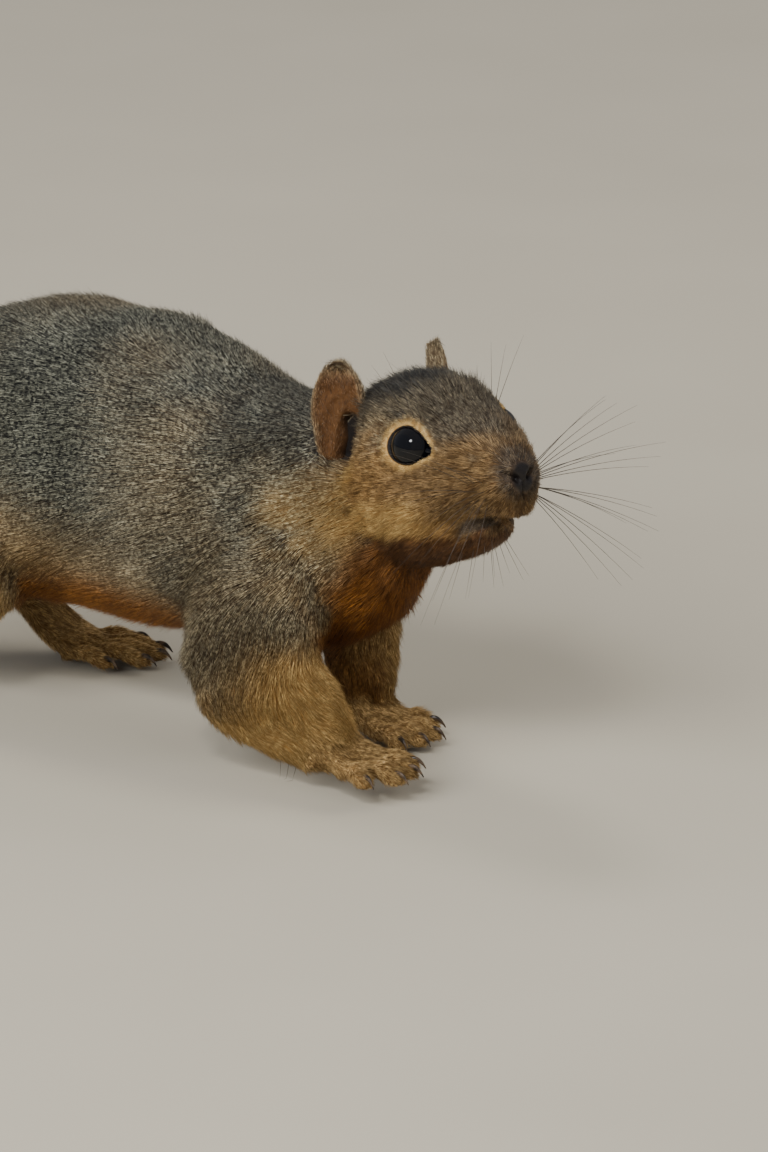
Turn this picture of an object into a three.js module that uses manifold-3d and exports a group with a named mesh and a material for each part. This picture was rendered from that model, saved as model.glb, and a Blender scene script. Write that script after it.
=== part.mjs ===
// A fox squirrel at life size, caught in mid-walk: the right hand about to land, the left hand and both hind
// feet on the floor, the head turned a little to its right and lifted, and the brush trailing on the floor.
// Millimetres. +X is forward, +Y is the animal's left, +Z is up, and the floor is at Z = 0. Every surface is
// the outside of the coat. Each length of the body is lofted by itself, and is parted from the next by a thin gap.
import * as THREE from "three";
import { mergeVertices } from "three/addons/utils/BufferGeometryUtils.js";
import Module from "manifold-3d";

const wasm = await Module();
wasm.setup();

// ---- Driving dimensions ----

const GAP = 0.3; // left between neighbouring pieces
const BACK_HEIGHT = 102; // the top of the arched back
const BELLY_HEIGHT = 21; // under the ribs
const CHEST_HALF_WIDTH = 34;
const HEAD_AT = new THREE.Vector3(91.5, -1.5, 78.8); // the middle of the head, on a level with the eyes
const HEAD_YAW = -15; // degrees, to the animal's right
const HEAD_PITCH = 13; // degrees, nose up
const EYE_RADIUS = 5.5;
const EYE_AT = new THREE.Vector3(4.1, 11.8, 6); // from the middle of the head, on the left side
const EAR_HEIGHT = 27;
const EAR_WIDTH = 14.5;
const EAR_THICKNESS = 1.6;
const EAR_CUP = 4.5; // how deep the hollow of the ear is at its base
const CLAW_LENGTH = 4.5;
const METATARSUS = 30; // the heel to the ball of a hind foot
const TAIL_HALF_WIDTH = 33;
const TAIL_HALF_THICKNESS = 16;

const RIGHT = -1;
const LEFT = 1;
const X_AXIS = new THREE.Vector3(1, 0, 0);
const Z_AXIS = new THREE.Vector3(0, 0, 1);
const point = (x, y, z) => new THREE.Vector3(x, y, z);
const radians = THREE.MathUtils.degToRad;

// ---- Lofts ----

// A ring of a loft: its centre, half its width, its reach above the centre and below it.
function ring(centre, wide, up, down = up) {
  return { centre, size: point(wide, up, down) };
}

// An upright ring across the midline, given by the heights of its top and bottom and of its widest level.
function section(x, top, bottom, wide, widest = (top + bottom) / 2, y = 0) {
  return ring(point(x, y, widest), wide, top - widest, widest - bottom);
}

// How far a rounded outline stands out along an axis: 2 gives an ellipse, and more gives a squarer one.
function bulge(value, squareness) {
  return Math.sign(value) * Math.abs(value) ** (2 / squareness);
}

// A closed body through the rings, rounded off at both ends. `up` is the direction that the rings' tops face,
// and `grow` makes the whole body that much fatter.
function loft(rings, { sides = 16, steps = 2, up = Z_AXIS, squareness = 2.2, grow = 0 } = {}) {
  const path = new THREE.CatmullRomCurve3(rings.map((r) => r.centre), false, "centripetal");
  const sizes = new THREE.CatmullRomCurve3(rings.map((r) => r.size), false, "centripetal");
  const last = (rings.length - 1) * steps;
  const vertices = [];
  for (let i = 0; i <= last; i++) {
    const [centre, size, along] = [path.getPoint(i / last), sizes.getPoint(i / last), path.getTangent(i / last)];
    const side = point(0, 0, 0).crossVectors(up, along).normalize();
    const rise = point(0, 0, 0).crossVectors(along, side).normalize();
    for (let j = 0; j < sides; j++) {
      const angle = (2 * Math.PI * j) / sides;
      const across = bulge(Math.cos(angle), squareness) * (size.x + grow);
      const height = bulge(Math.sin(angle), squareness) * ((Math.sin(angle) > 0 ? size.y : size.z) + grow);
      vertices.push(centre.clone().addScaledVector(side, across).addScaledVector(rise, height));
    }
  }
  // Each end closes on a pole, which stands out by part of the end ring's own size.
  const tips = [0, 1].map((t) => {
    const reach = (0.35 * (sizes.getPoint(t).x + sizes.getPoint(t).y)) / 2 + grow;
    return path.getPoint(t).addScaledVector(path.getTangent(t), t ? reach : -reach);
  });
  const faces = [];
  for (let i = 0; i < last; i++)
    for (let j = 0; j < sides; j++) {
      const [a, b] = [i * sides + j, i * sides + ((j + 1) % sides)];
      faces.push(a, b, b + sides, a, b + sides, a + sides);
    }
  const [first, end] = [vertices.length, last * sides];
  for (let j = 0; j < sides; j++) {
    const next = (j + 1) % sides;
    faces.push(next, j, first, end + j, end + next, first + 1);
  }
  return closedGeometry([...vertices, ...tips], faces);
}

function closedGeometry(vertices, faces) {
  const geometry = new THREE.BufferGeometry().setFromPoints(vertices);
  geometry.setIndex(faces);
  return geometry;
}

// ---- Solids ----

function solidOf(geometry) {
  const bare = new THREE.BufferGeometry().setAttribute("position", geometry.getAttribute("position"));
  const merged = mergeVertices(bare.setIndex(geometry.index), 1e-3);
  return new wasm.Manifold(
    new wasm.Mesh({
      numProp: 3,
      vertProperties: merged.getAttribute("position").array,
      triVerts: new Uint32Array(merged.index.array),
    }),
  );
}

function geometryOf(solid) {
  const mesh = solid.getMesh();
  const geometry = new THREE.BufferGeometry();
  geometry.setAttribute("position", new THREE.BufferAttribute(mesh.vertProperties, 3));
  geometry.setIndex(new THREE.BufferAttribute(mesh.triVerts, 1));
  geometry.computeVertexNormals();
  return geometry;
}

// The largest separate body of a solid: a cut can leave slivers on the far side of a neighbour.
function mainBody(solid) {
  return solid.decompose().reduce((best, body) => (body.volume() > best.volume() ? body : best));
}

// The shape less its neighbours. Shapes are functions of how much fatter to make them.
function parted(shape, ...neighbours) {
  const cut = neighbours.reduce((left, other) => left.subtract(solidOf(other(GAP))), solidOf(shape(0)));
  return mainBody(cut);
}

// ---- The group and its finishes ----

const squirrel = new THREE.Group();
squirrel.name = "fox_squirrel";

const finish = (color, roughness = 0.9) => new THREE.MeshStandardMaterial({ color, roughness, metalness: 0 });
const GRIZZLED = finish(0x6f6a58);
const TAWNY = finish(0xa9763a);
const BUFF = finish(0x9a8052);
const BRUSH = finish(0x7a5a34);
const EYE_GLOSS = finish(0x0b0a0c, 0.08);

function add(name, solid, material, parent = squirrel) {
  const mesh = new THREE.Mesh(geometryOf(solid), material);
  mesh.name = name;
  parent.add(mesh);
  return mesh;
}

// ---- Trunk and neck ----

const trunk = (grow) =>
  loft(
    [
      section(-97, 66, 44, 12, 56),
      section(-91, 72, 40, 17, 56),
      section(-80, 79, 35, 23, 56),
      section(-64, 88, 31, 28, 56),
      section(-45, 95, BELLY_HEIGHT + 3, 32, 56),
      section(-22, BACK_HEIGHT - 1.5, BELLY_HEIGHT, CHEST_HALF_WIDTH, 56),
      section(0, BACK_HEIGHT - 1.5, BELLY_HEIGHT, CHEST_HALF_WIDTH - 1, 56),
      section(20, 94.5, BELLY_HEIGHT + 1, CHEST_HALF_WIDTH - 3, 56),
      section(38, 85, 22, 28, 54),
      section(55, 76, 23, 25, 50),
      section(68, 64, 27, 19, 47),
      section(78, 54, 36, 10, 46),
    ],
    { sides: 16, grow },
  );

const neck = (grow) =>
  loft(
    [
      ring(point(34, 0, 62), 24, 26, 26),
      ring(point(52, 0, 64), 24, 26, 26),
      ring(point(66, -1, 66), 19.5, 24, 26),
      ring(point(80, -2, 68), 15, 22, 24),
    ],
    { sides: 12, up: point(-0.25, 0, 1), grow },
  );

// ---- Head: everything here is measured from the middle of the head, along its own axes ----

const head = new THREE.Group();
head.position.copy(HEAD_AT);
head.rotation.set(0, radians(-HEAD_PITCH), radians(HEAD_YAW), "ZYX");
head.updateMatrix();
squirrel.add(head);

const skull = (grow) =>
  loft(
    [
      section(-35, 7, -13, 9, -3.5),
      section(-29, 14.5, -19, 15, -4),
      section(-20, 19, -22, 18, -4.5),
      section(-10, 21.3, -22, 20.8, -4.5),
      section(-1, 21.5, -20, 20, -3.5),
      section(7, 19, -17, 16.5, -2.8),
      section(13, 15.5, -14, 13, -2.5),
      section(19, 12, -12, 10.5, -2.5),
      section(23.5, 9, -10.5, 8.6, -2.5),
      section(27, 6, -8, 6.6, -2),
      section(28.8, 3, -5.5, 4, -1.5),
    ],
    { sides: 16, grow },
  );

const jaw = (grow) =>
  loft(
    [
      section(-18, -10, -24, 12, -16),
      section(-8, -9, -25, 14, -16),
      section(2, -10, -23, 12, -16),
      section(10, -11, -20.5, 9, -15.5),
      section(15.5, -11.5, -18.5, 6.5, -15),
      section(19.5, -12, -16.5, 3.6, -14.5),
    ],
    { sides: 12, grow },
  );

// The skull, jaw and ears in the frame of the whole animal, where they part the neck and trunk.
const skullInPlace = (grow) => skull(grow).applyMatrix4(head.matrix);
const jawInPlace = (grow) => jaw(grow).applyMatrix4(head.matrix);

function eye(side, radius = EYE_RADIUS) {
  const ball = new THREE.SphereGeometry(radius, 14, 9);
  return ball.translate(EYE_AT.x, side * EYE_AT.y, EYE_AT.z);
}

// A cupped leaf, standing on the origin along +Z with its hollow facing +X: two sheets joined round the rim.
function ear(side, grow = 0) {
  const [rows, columns] = [7, 6];
  const halfWidth = (v) => (EAR_WIDTH / 2) * Math.sqrt(Math.max(0, 1 - Math.max(0, (v - 0.52) / 0.5) ** 2)) *
    (0.62 + 0.38 * Math.min(1, v / 0.5));
  const sheet = (front) => {
    const vertices = [];
    for (let i = 0; i <= rows; i++)
      for (let j = 0; j <= columns; j++) {
        const [v, u] = [i / rows, (2 * j) / columns - 1];
        const across = u * (halfWidth(v * 0.985) + grow);
        const bend = (across / halfWidth(v * 0.985)) ** 2 - 1;
        const cup = EAR_CUP * (1 - 0.45 * v) * bend - 1.5 * v;
        const thickness = EAR_THICKNESS * (1 - 0.45 * u * u) + 2 * grow;
        vertices.push(point(cup - grow + (front ? thickness : 0), across, v * EAR_HEIGHT + (2 * v - 1) * grow));
      }
    return vertices;
  };
  const [front, back] = [sheet(true), sheet(false)];
  const row = columns + 1;
  const faces = [];
  const quad = (a, b, c, d) => faces.push(a, b, c, a, c, d);
  for (let i = 0; i < rows; i++)
    for (let j = 0; j < columns; j++) {
      const a = i * row + j;
      quad(a, a + 1, a + 1 + row, a + row);
      const b = a + front.length;
      quad(b, b + row, b + row + 1, b + 1);
    }
  const rim = [];
  for (let j = 0; j < columns; j++) rim.push(j);
  for (let i = 0; i < rows; i++) rim.push(columns + i * row);
  for (let j = columns; j > 0; j--) rim.push(rows * row + j);
  for (let i = rows; i > 0; i--) rim.push(i * row);
  rim.forEach((a, i) => {
    const b = rim[(i + 1) % rim.length];
    quad(a, a + front.length, b + front.length, b);
  });
  return closedGeometry([...front, ...back], faces)
    .rotateX(radians(side * 3))
    .rotateZ(radians(side * 63))
    .rotateY(radians(5))
    .translate(-20.5, side * 16.5, -0.5);
}

const sockets = [RIGHT, LEFT].map((side) => solidOf(eye(side, EYE_RADIUS + GAP)));
add("head", sockets.reduce((left, socket) => left.subtract(socket), solidOf(skull(0))), BUFF, head);
add("lower_jaw", parted(jaw, skull), TAWNY, head);
for (const [side, word] of [[RIGHT, "right"], [LEFT, "left"]]) {
  add("eye_" + word, solidOf(eye(side)), EYE_GLOSS, head);
  add("ear_" + word, parted((grow) => ear(side, grow), skull), TAWNY, head);
}
add("trunk", parted(trunk, skullInPlace, jawInPlace), GRIZZLED);
const earsInPlace = [RIGHT, LEFT].map((side) => (grow) => ear(side, 2 * grow).applyMatrix4(head.matrix));
add("neck", parted(neck, trunk, skullInPlace, jawInPlace, ...earsInPlace), GRIZZLED);

// ---- Forelimbs ----

const FORELIMBS = {
  right: { side: RIGHT, shoulder: point(50, -13, 58), elbow: point(43, -27.5, 21), wrist: point(75, -21.8, 9.5) },
  left: { side: LEFT, shoulder: point(50, 13, 58), elbow: point(44.5, 22.5, 37), wrist: point(57.5, 11.5, 11) },
};
// How far the coat fills the crook of each elbow, how far it reaches under the elbow and fills out the forearm's
// sides, which way each hand points in degrees, and how high it is held.
Object.assign(FORELIMBS.right, { crook: 11.5, under: 9, fill: 0, turn: 9, lift: 3 });
Object.assign(FORELIMBS.left, { crook: 0, under: 14, fill: 2, turn: -2, lift: 0 });

const upperArm = ({ shoulder, elbow, crook }) => (grow) =>
  loft(
    [
      ring(shoulder, 13, 17, 19),
      ring(shoulder.clone().lerp(elbow, 0.5), 12.5, 18 + 0.5 * crook, 17),
      ring(elbow, 10, 14 + crook, 11),
    ],
    { sides: 12, up: X_AXIS, steps: 3, grow },
  );

const forearm = ({ elbow, wrist, crook, under, fill }) => (grow) =>
  loft(
    [
      ring(elbow.clone(), 9.5 + fill, 11 + crook, under),
      ring(elbow.clone().lerp(wrist, 0.45), 9 + 0.5 * fill, 11 + crook, 10.5 + 0.5 * fill),
      ring(elbow.clone().lerp(wrist, 0.85), 7.6, 9.2 + 0.5 * crook, 8),
      ring(wrist.clone(), 7, 8.3, 7),
    ],
    { sides: 12, up: point(0.4, 0, 1), grow },
  );

// A digit of a hand or foot: it arches forward from its knuckle and ends in a hooked claw.
function digit(knuckle, reach, splay, radius) {
  const on = (share, height) => point(knuckle.x + reach * share, knuckle.y + reach * share * splay, height);
  const flesh = loft(
    [
      ring(knuckle, radius, radius),
      ring(on(0.5, radius + 1.4), radius, radius),
      ring(on(0.95, radius - 0.7), radius * 0.9, radius * 0.9),
    ],
    { sides: 6, steps: 1, squareness: 2 },
  );
  const claw = loft(
    [
      ring(on(0.9, radius + 0.6), 1.1, 1.3),
      ring(on(1, radius + 0.7).add(point(CLAW_LENGTH * 0.45, 0, 0)), 0.8, 0.9),
      ring(on(1, 0.9).add(point(CLAW_LENGTH, 0, 0)), 0.35, 0.4),
    ],
    { sides: 4, steps: 1, squareness: 2 },
  );
  return solidOf(flesh).add(solidOf(claw));
}

// Knuckles across a foot: how far ahead of the wrist or ball and how far outward each is, and how long and
// splayed its digit.
const FINGERS = [
  { ahead: 5.5, out: 6, reach: 7.5, splay: 0.5 },
  { ahead: 9.5, out: 2.6, reach: 9, splay: 0.14 },
  { ahead: 10, out: -1.3, reach: 9, splay: -0.08 },
  { ahead: 8.5, out: -4.8, reach: 8, splay: -0.3 },
];
const TOES = [
  { ahead: 2, out: 6.6, reach: 11, splay: 0.4 },
  { ahead: 6, out: 3.3, reach: 14.5, splay: 0.16 },
  { ahead: 7, out: 0, reach: 15.5, splay: 0 },
  { ahead: 6, out: -3.3, reach: 14.5, splay: -0.14 },
  { ahead: 1, out: -6.4, reach: 11, splay: -0.32 },
];

function withDigits(foot, table, from, side, radius) {
  const put = ({ ahead, out, reach, splay }) => digit(point(from + ahead, side * out, radius + 1), reach, side * splay, radius);
  return table.reduce((whole, one) => whole.add(put(one)), solidOf(foot));
}

// The hand, with the wrist over the origin and the palm on Z = 0.
function hand(side, wristHeight) {
  const palm = loft(
    [
      ring(point(-4, 0, wristHeight), 6.8, 6.8),
      ring(point(1, 0, wristHeight - 2.2), 7.3, 6.8),
      ring(point(6, 0, 4.4), 7.8, 6, 5),
      ring(point(11, 0, 3), 7.2, 4.4, 3.6),
    ],
    { sides: 10, steps: 1 },
  );
  return withDigits(palm, FINGERS, 0, side, 2.7);
}

// Everything under the floor, which flattens the soles.
const floorSlab = solidOf(new THREE.BoxGeometry(700, 300, 60).translate(-80, 0, -30));

// A foot modelled at the origin, set down under its joint and turned outward, then cut by the limb and the floor.
function setDown(foot, at, turn, lift, ...neighbours) {
  const placed = geometryOf(foot).rotateZ(radians(turn)).translate(at.x, at.y, lift);
  return parted(() => placed, ...neighbours).subtract(floorSlab);
}

for (const [word, limb] of Object.entries(FORELIMBS)) {
  add("upper_arm_" + word, parted(upperArm(limb), trunk, neck), GRIZZLED);
  add("forearm_" + word, parted(forearm(limb), upperArm(limb), trunk, neck), TAWNY);
  const palm = hand(limb.side, limb.wrist.z - limb.lift);
  add("hand_" + word, setDown(palm, limb.wrist, limb.turn, limb.lift, forearm(limb)), TAWNY);
}

// ---- Hind limbs ----

const HINDLIMBS = {
  right: { side: RIGHT, hip: point(-68, -13, 60), knee: point(-25, -29, 35), ankle: point(-87, -30, 16), heel: 3, turn: -9 },
  left: { side: LEFT, hip: point(-62, 13, 60), knee: point(-15, 30, 42), ankle: point(-56, 5, 29), heel: 21, turn: 20 },
};

const thigh = ({ hip, knee }) => (grow) =>
  loft(
    [
      ring(hip.clone().add(point(-17, 0, -6)), 9, 15, 15),
      ring(hip.clone().lerp(knee, 0.08), 17, 26, 25),
      ring(hip.clone().lerp(knee, 0.5), 16, 27, 24),
      ring(knee.clone(), 11, 17, 13),
    ],
    { sides: 12, grow },
  );

const shank = ({ knee, ankle }) => (grow) =>
  loft(
    [
      ring(knee.clone(), 9, 12),
      ring(knee.clone().lerp(ankle, 0.4), 8, 11),
      ring(knee.clone().lerp(ankle, 0.8), 6, 7.5),
      ring(ankle.clone(), 5.5, 6.5),
    ],
    { sides: 12, grow },
  );

// The hind foot, with the heel over the origin and raised by `heel`, and the ball and toes on Z = 0.
function hindFoot(side, heel) {
  const ball = Math.sqrt(METATARSUS ** 2 - heel ** 2);
  const sole = loft(
    [
      ring(point(-1, 0, 6.5 + heel), 5, 6),
      ring(point(0.25 * ball, 0, 6 + 0.8 * heel), 5.6, 5.8),
      ring(point(0.65 * ball, 0, 5.4 + 0.33 * heel), 6.4, 5),
      ring(point(ball, 0, 4), 8, 4.4, 4.8),
      ring(point(ball + 8, 0, 3), 6.8, 3.2, 3.6),
    ],
    { sides: 10, steps: 1 },
  );
  return withDigits(sole, TOES, ball, side, 2.4);
}

for (const [word, limb] of Object.entries(HINDLIMBS)) {
  add("thigh_" + word, parted(thigh(limb), trunk), GRIZZLED);
  add("shank_" + word, parted(shank(limb), thigh(limb), trunk), TAWNY);
  const foot = hindFoot(limb.side, limb.heel);
  add("hind_foot_" + word, setDown(foot, limb.ankle, limb.turn, 0, shank(limb), trunk), TAWNY);
}

// ---- Tail ----

// The brush, from the rump to the tip: it comes down to lie on the floor for a stretch, and curls up behind.
const BRUSH_RINGS = [
  ring(point(-94, 0, 56), 14, 12),
  ring(point(-112, 0, 45), 19, 13),
  ring(point(-138, 1, 29), 26, 15),
  ring(point(-170, 3, 18), 31, TAIL_HALF_THICKNESS, TAIL_HALF_THICKNESS + 2),
  ring(point(-210, 7, 17), TAIL_HALF_WIDTH, TAIL_HALF_THICKNESS + 1),
  ring(point(-252, 12, 21), TAIL_HALF_WIDTH - 1, TAIL_HALF_THICKNESS),
  ring(point(-292, 16, 31), 27, 14),
  ring(point(-322, 18, 42), 17, 10),
  ring(point(-338, 19, 49), 7, 5),
];

// Each length is a slice of the brush between two upright cuts, a gap apart.
const brush = parted((grow) => loft(BRUSH_RINGS, { sides: 12, grow }), trunk).subtract(floorSlab);
const between = (back, front) =>
  solidOf(new THREE.BoxGeometry(front - back, 200, 300).translate((front + back) / 2, 0, 0));
const CUTS = [-60, -155, -240, -400];
["base", "middle", "tip"].forEach((word, i) => {
  const length = between(CUTS[i + 1] + GAP / 2, CUTS[i] - GAP / 2);
  add("tail_" + word, mainBody(brush.intersect(length)), BRUSH);
});

// The origin is the middle of the whole animal's box, on the floor.
const box = new THREE.Box3().setFromObject(squirrel, true);
squirrel.position.set(-(box.min.x + box.max.x) / 2, -(box.min.y + box.max.y) / 2, -box.min.z);

export default squirrel;
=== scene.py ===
"""A fox squirrel in mid-walk, life size, dressed over its solids: skin, eyes, claws, coat and whiskers."""
import math

import bmesh
import bpy
import numpy as np
from mathutils import Matrix, Vector
from mathutils.bvhtree import BVHTree
from mathutils.kdtree import KDTree


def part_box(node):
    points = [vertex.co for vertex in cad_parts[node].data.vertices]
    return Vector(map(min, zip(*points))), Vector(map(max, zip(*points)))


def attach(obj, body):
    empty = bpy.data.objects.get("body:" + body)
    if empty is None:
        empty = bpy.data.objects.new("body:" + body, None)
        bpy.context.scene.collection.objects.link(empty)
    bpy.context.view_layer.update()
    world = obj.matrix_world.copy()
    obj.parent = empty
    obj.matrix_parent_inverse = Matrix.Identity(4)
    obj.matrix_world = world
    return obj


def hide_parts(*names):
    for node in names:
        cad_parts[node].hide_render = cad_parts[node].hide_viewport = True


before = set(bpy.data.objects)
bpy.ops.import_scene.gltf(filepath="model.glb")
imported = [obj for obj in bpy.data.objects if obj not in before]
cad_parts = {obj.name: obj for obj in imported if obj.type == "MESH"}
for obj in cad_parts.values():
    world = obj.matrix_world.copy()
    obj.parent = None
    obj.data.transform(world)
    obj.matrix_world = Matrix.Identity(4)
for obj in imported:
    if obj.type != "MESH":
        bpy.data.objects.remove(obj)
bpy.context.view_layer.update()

# ---- The stance, the camera, the floor and the lights ----
# The animal's own frame is in millimetres, with the floor at 0 and the nose ahead along X. Its place in the
# loaded frame is read off the two eyeballs, which sit at a known place in the head.

MM = 0.001
RIGHT, LEFT = -1, 1  # the sign of Y on each side of the body
HEAD_AT = np.array([91.5, -1.5, 78.8])
HEAD_YAW = math.radians(-15)
HEAD_PITCH = math.radians(13)
EYE_AT = np.array([4.1, 11.8, 6])
EYE_RADIUS = 5.5
head_turn = np.array(Matrix.Rotation(HEAD_YAW, 3, "Z") @ Matrix.Rotation(-HEAD_PITCH, 3, "Y"))
eye_corners = [np.array(corner) for side in ("right", "left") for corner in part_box("eye_" + side)]
place = np.mean(eye_corners, axis=0) - MM * (HEAD_AT + head_turn @ (EYE_AT * (1, 0, 1)))


def metres(points):
    """Points of the animal's own frame, in the loaded frame's metres."""
    return np.asarray(points, float) * MM + place


def from_head(points):
    """Points given from the middle of the head, in the animal's own frame."""
    return np.asarray(points, float) @ head_turn.T + HEAD_AT


def to_head(points):
    """Points of the animal's own frame, seen from the middle of the head."""
    return (points - HEAD_AT) @ head_turn


CAMERA_TURN = math.radians(38)
CAMERA_RISE = math.radians(18)
CAMERA_DISTANCE = 1.524
CAMERA_AIM = (71.5, 0, 46.5)
toward_camera = Vector(
    (
        math.sin(CAMERA_TURN) * math.cos(CAMERA_RISE),
        -math.cos(CAMERA_TURN) * math.cos(CAMERA_RISE),
        math.sin(CAMERA_RISE),
    )
)
aim = Vector(metres(CAMERA_AIM))
lens = bpy.data.cameras.new("camera")
lens.lens = 200
lens.sensor_width = 36
lens.clip_start = 0.05
camera = bpy.data.objects.new("camera", lens)
camera.location = aim + toward_camera * CAMERA_DISTANCE
camera.rotation_euler = toward_camera.to_track_quat("Z", "Y").to_euler()
bpy.context.collection.objects.link(camera)
bpy.context.scene.camera = camera


def add_light(name, azimuth, elevation, distance, size, power, tint, mirrored=False):
    """A soft panel lamp that faces the animal from so many degrees round and above it."""
    turn, rise = math.radians(azimuth), math.radians(elevation)
    away = Vector((math.sin(turn) * math.cos(rise), -math.cos(turn) * math.cos(rise), math.sin(rise)))
    lamp = bpy.data.lights.new(name, "AREA")
    lamp.shape = "DISK"
    lamp.size = size
    lamp.energy = power
    lamp.color = tint
    holder = bpy.data.objects.new(name, lamp)
    holder.location = aim + away * distance
    holder.rotation_euler = away.to_track_quat("Z", "Y").to_euler()
    holder.visible_glossy = mirrored
    bpy.context.collection.objects.link(holder)


# Each lamp's degrees round the animal and above it, its distance and size in metres, its power and its tint.
# Only the small one is mirrored in the eyes.
add_light("key_light", -118, 60, 1.5, 0.4, 7, (1, 0.97, 0.92))
add_light("sky_light", -10, 32, 1.6, 1.2, 31, (0.96, 0.98, 1))
add_light("fill_light", 80, 28, 2.0, 1.2, 7, (1, 0.98, 0.95))
add_light("rear_light", 150, 34, 2.0, 1.2, 14, (1, 0.98, 0.95))
add_light("catch_light", 22, 46, 1.2, 0.24, 6, (1, 1, 1), mirrored=True)
world = bpy.data.worlds.new("studio")
world.use_nodes = True
world.node_tree.nodes["Background"].inputs["Color"].default_value = (0.86, 0.88, 0.92, 1)
world.node_tree.nodes["Background"].inputs["Strength"].default_value = 0.42
bpy.context.scene.world = world


def paint(red, green, blue):
    """A colour given in everyday 0 to 255 values, as the linear colour that a shader takes."""
    channels = [value / 255 for value in (red, green, blue)]
    return tuple(v / 12.92 if v < 0.04045 else ((v + 0.055) / 1.055) ** 2.4 for v in channels) + (1,)


def add_node(tree, kind, settings=None, **inputs):
    """A node with its settings and inputs; an input is a value, or the socket that feeds it."""
    node = tree.nodes.new(kind)
    for name, value in (settings or {}).items():
        setattr(node, name, value)
    for name, value in inputs.items():
        key = int(name[1:]) if name[0] == "_" else name.replace("_", " ")
        if isinstance(value, bpy.types.NodeSocket):
            tree.links.new(value, node.inputs[key])
        else:
            node.inputs[key].default_value = value
    return node


def new_material(name):
    """A material, its tree and its Principled shader."""
    material = bpy.data.materials.new(name)
    material.use_nodes = True
    return material, material.node_tree, material.node_tree.nodes["Principled BSDF"]


def mixed(tree, share, first, second, blend="MIX"):
    """The mix of two colours; share, first and second are values or the sockets that feed them."""
    return add_node(
        tree, "ShaderNodeMix", {"data_type": "RGBA", "blend_type": blend}, _0=share, _6=first, _7=second
    ).outputs[2]


def cloud(tree, scale, detail=2.0):
    """A noise that is fixed in the piece, finer as the scale grows."""
    where = add_node(tree, "ShaderNodeTexCoord").outputs["Object"]
    return add_node(tree, "ShaderNodeTexNoise", Vector=where, Scale=scale, Detail=detail).outputs["Fac"]


FLOOR_SIZE = 8
floor_mesh = bpy.data.meshes.new("floor")
floor_corners = [(x * FLOOR_SIZE, y * FLOOR_SIZE, 0) for x, y in ((-1, -1), (1, -1), (1, 1), (-1, 1))]
floor_mesh.from_pydata(floor_corners, [], [(0, 1, 2, 3)])
floor = bpy.data.objects.new("floor", floor_mesh)
bpy.context.collection.objects.link(floor)
floor_finish, floor_tree, floor_shader = new_material("floor_pale")
floor_tint = mixed(floor_tree, cloud(floor_tree, 9.0), paint(168, 160, 143), paint(178, 170, 153))
floor_tree.links.new(floor_tint, floor_shader.inputs["Base Color"])
floor_shader.inputs["Roughness"].default_value = 0.7
floor_mesh.materials.append(floor_finish)

# ---- The skin ----
# One hide over the whole animal, from the nose to the end of the tail. It closes the joins between the packed
# solids of flesh and lies inside them by the depth of the coat. The thin tail inside its brush, the hands and
# the hind feet are shaped here from their bones outward.

FLESH = [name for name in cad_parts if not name.startswith("eye_")]
PAWS = ("hand_right", "hand_left", "hind_foot_right", "hind_foot_left")
EARS = ((RIGHT, "ear_right"), (LEFT, "ear_left"))
SKIN_GRAIN = 0.75  # between the points of the fine skin
JOIN_OVER = 0.4  # how far the solids swell to close the gaps between them
up_axis = np.array([0.0, 0.0, 1.0])


def unit(vectors):
    """Vectors of length one."""
    return vectors / np.maximum(np.linalg.norm(vectors, axis=-1, keepdims=True), 1e-9)


def ease(start, end, value):
    """0 before start and 1 after end, smooth between; start may be the larger."""
    share = np.clip((value - start) / (end - start), 0, 1)
    return share * share * (3 - 2 * share)


def point_normals(points, faces):
    """The outward normal at each point of a mesh of triangles."""
    corner, along, across = (points[faces[:, i]] for i in range(3))
    face_normals = np.cross(along - corner, across - corner)
    total = [
        np.bincount(faces.ravel(), weights=np.repeat(face_normals[:, axis], 3), minlength=len(points))
        for axis in range(3)
    ]
    return unit(np.stack(total, axis=1))


def solid_surface(name):
    """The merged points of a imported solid, in the animal's frame, and its triangles."""
    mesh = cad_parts[name].data
    corners = np.empty(len(mesh.vertices) * 3)
    mesh.vertices.foreach_get("co", corners)
    mesh.calc_loop_triangles()
    faces = np.empty(len(mesh.loop_triangles) * 3, int)
    mesh.loop_triangles.foreach_get("vertices", faces)
    corners = (corners.reshape(-1, 3) - place) / MM
    _, first, merged = np.unique(np.round(corners, 2), axis=0, return_index=True, return_inverse=True)
    faces = merged.ravel()[faces].reshape(-1, 3)
    whole = (faces[:, 0] != faces[:, 1]) & (faces[:, 1] != faces[:, 2]) & (faces[:, 2] != faces[:, 0])
    return corners[first], faces[whole]


def spread_points(points, faces, count, rng):
    """Points scattered evenly over a mesh of triangles."""
    a, b, c = (points[faces[:, i]] for i in range(3))
    area = np.linalg.norm(np.cross(b - a, c - a), axis=1)
    pick = rng.choice(len(faces), count, p=area / area.sum())
    u, v = np.sqrt(rng.random(count))[:, None], rng.random(count)[:, None]
    return a[pick] * (1 - u) + b[pick] * u * (1 - v) + c[pick] * u * v


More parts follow.
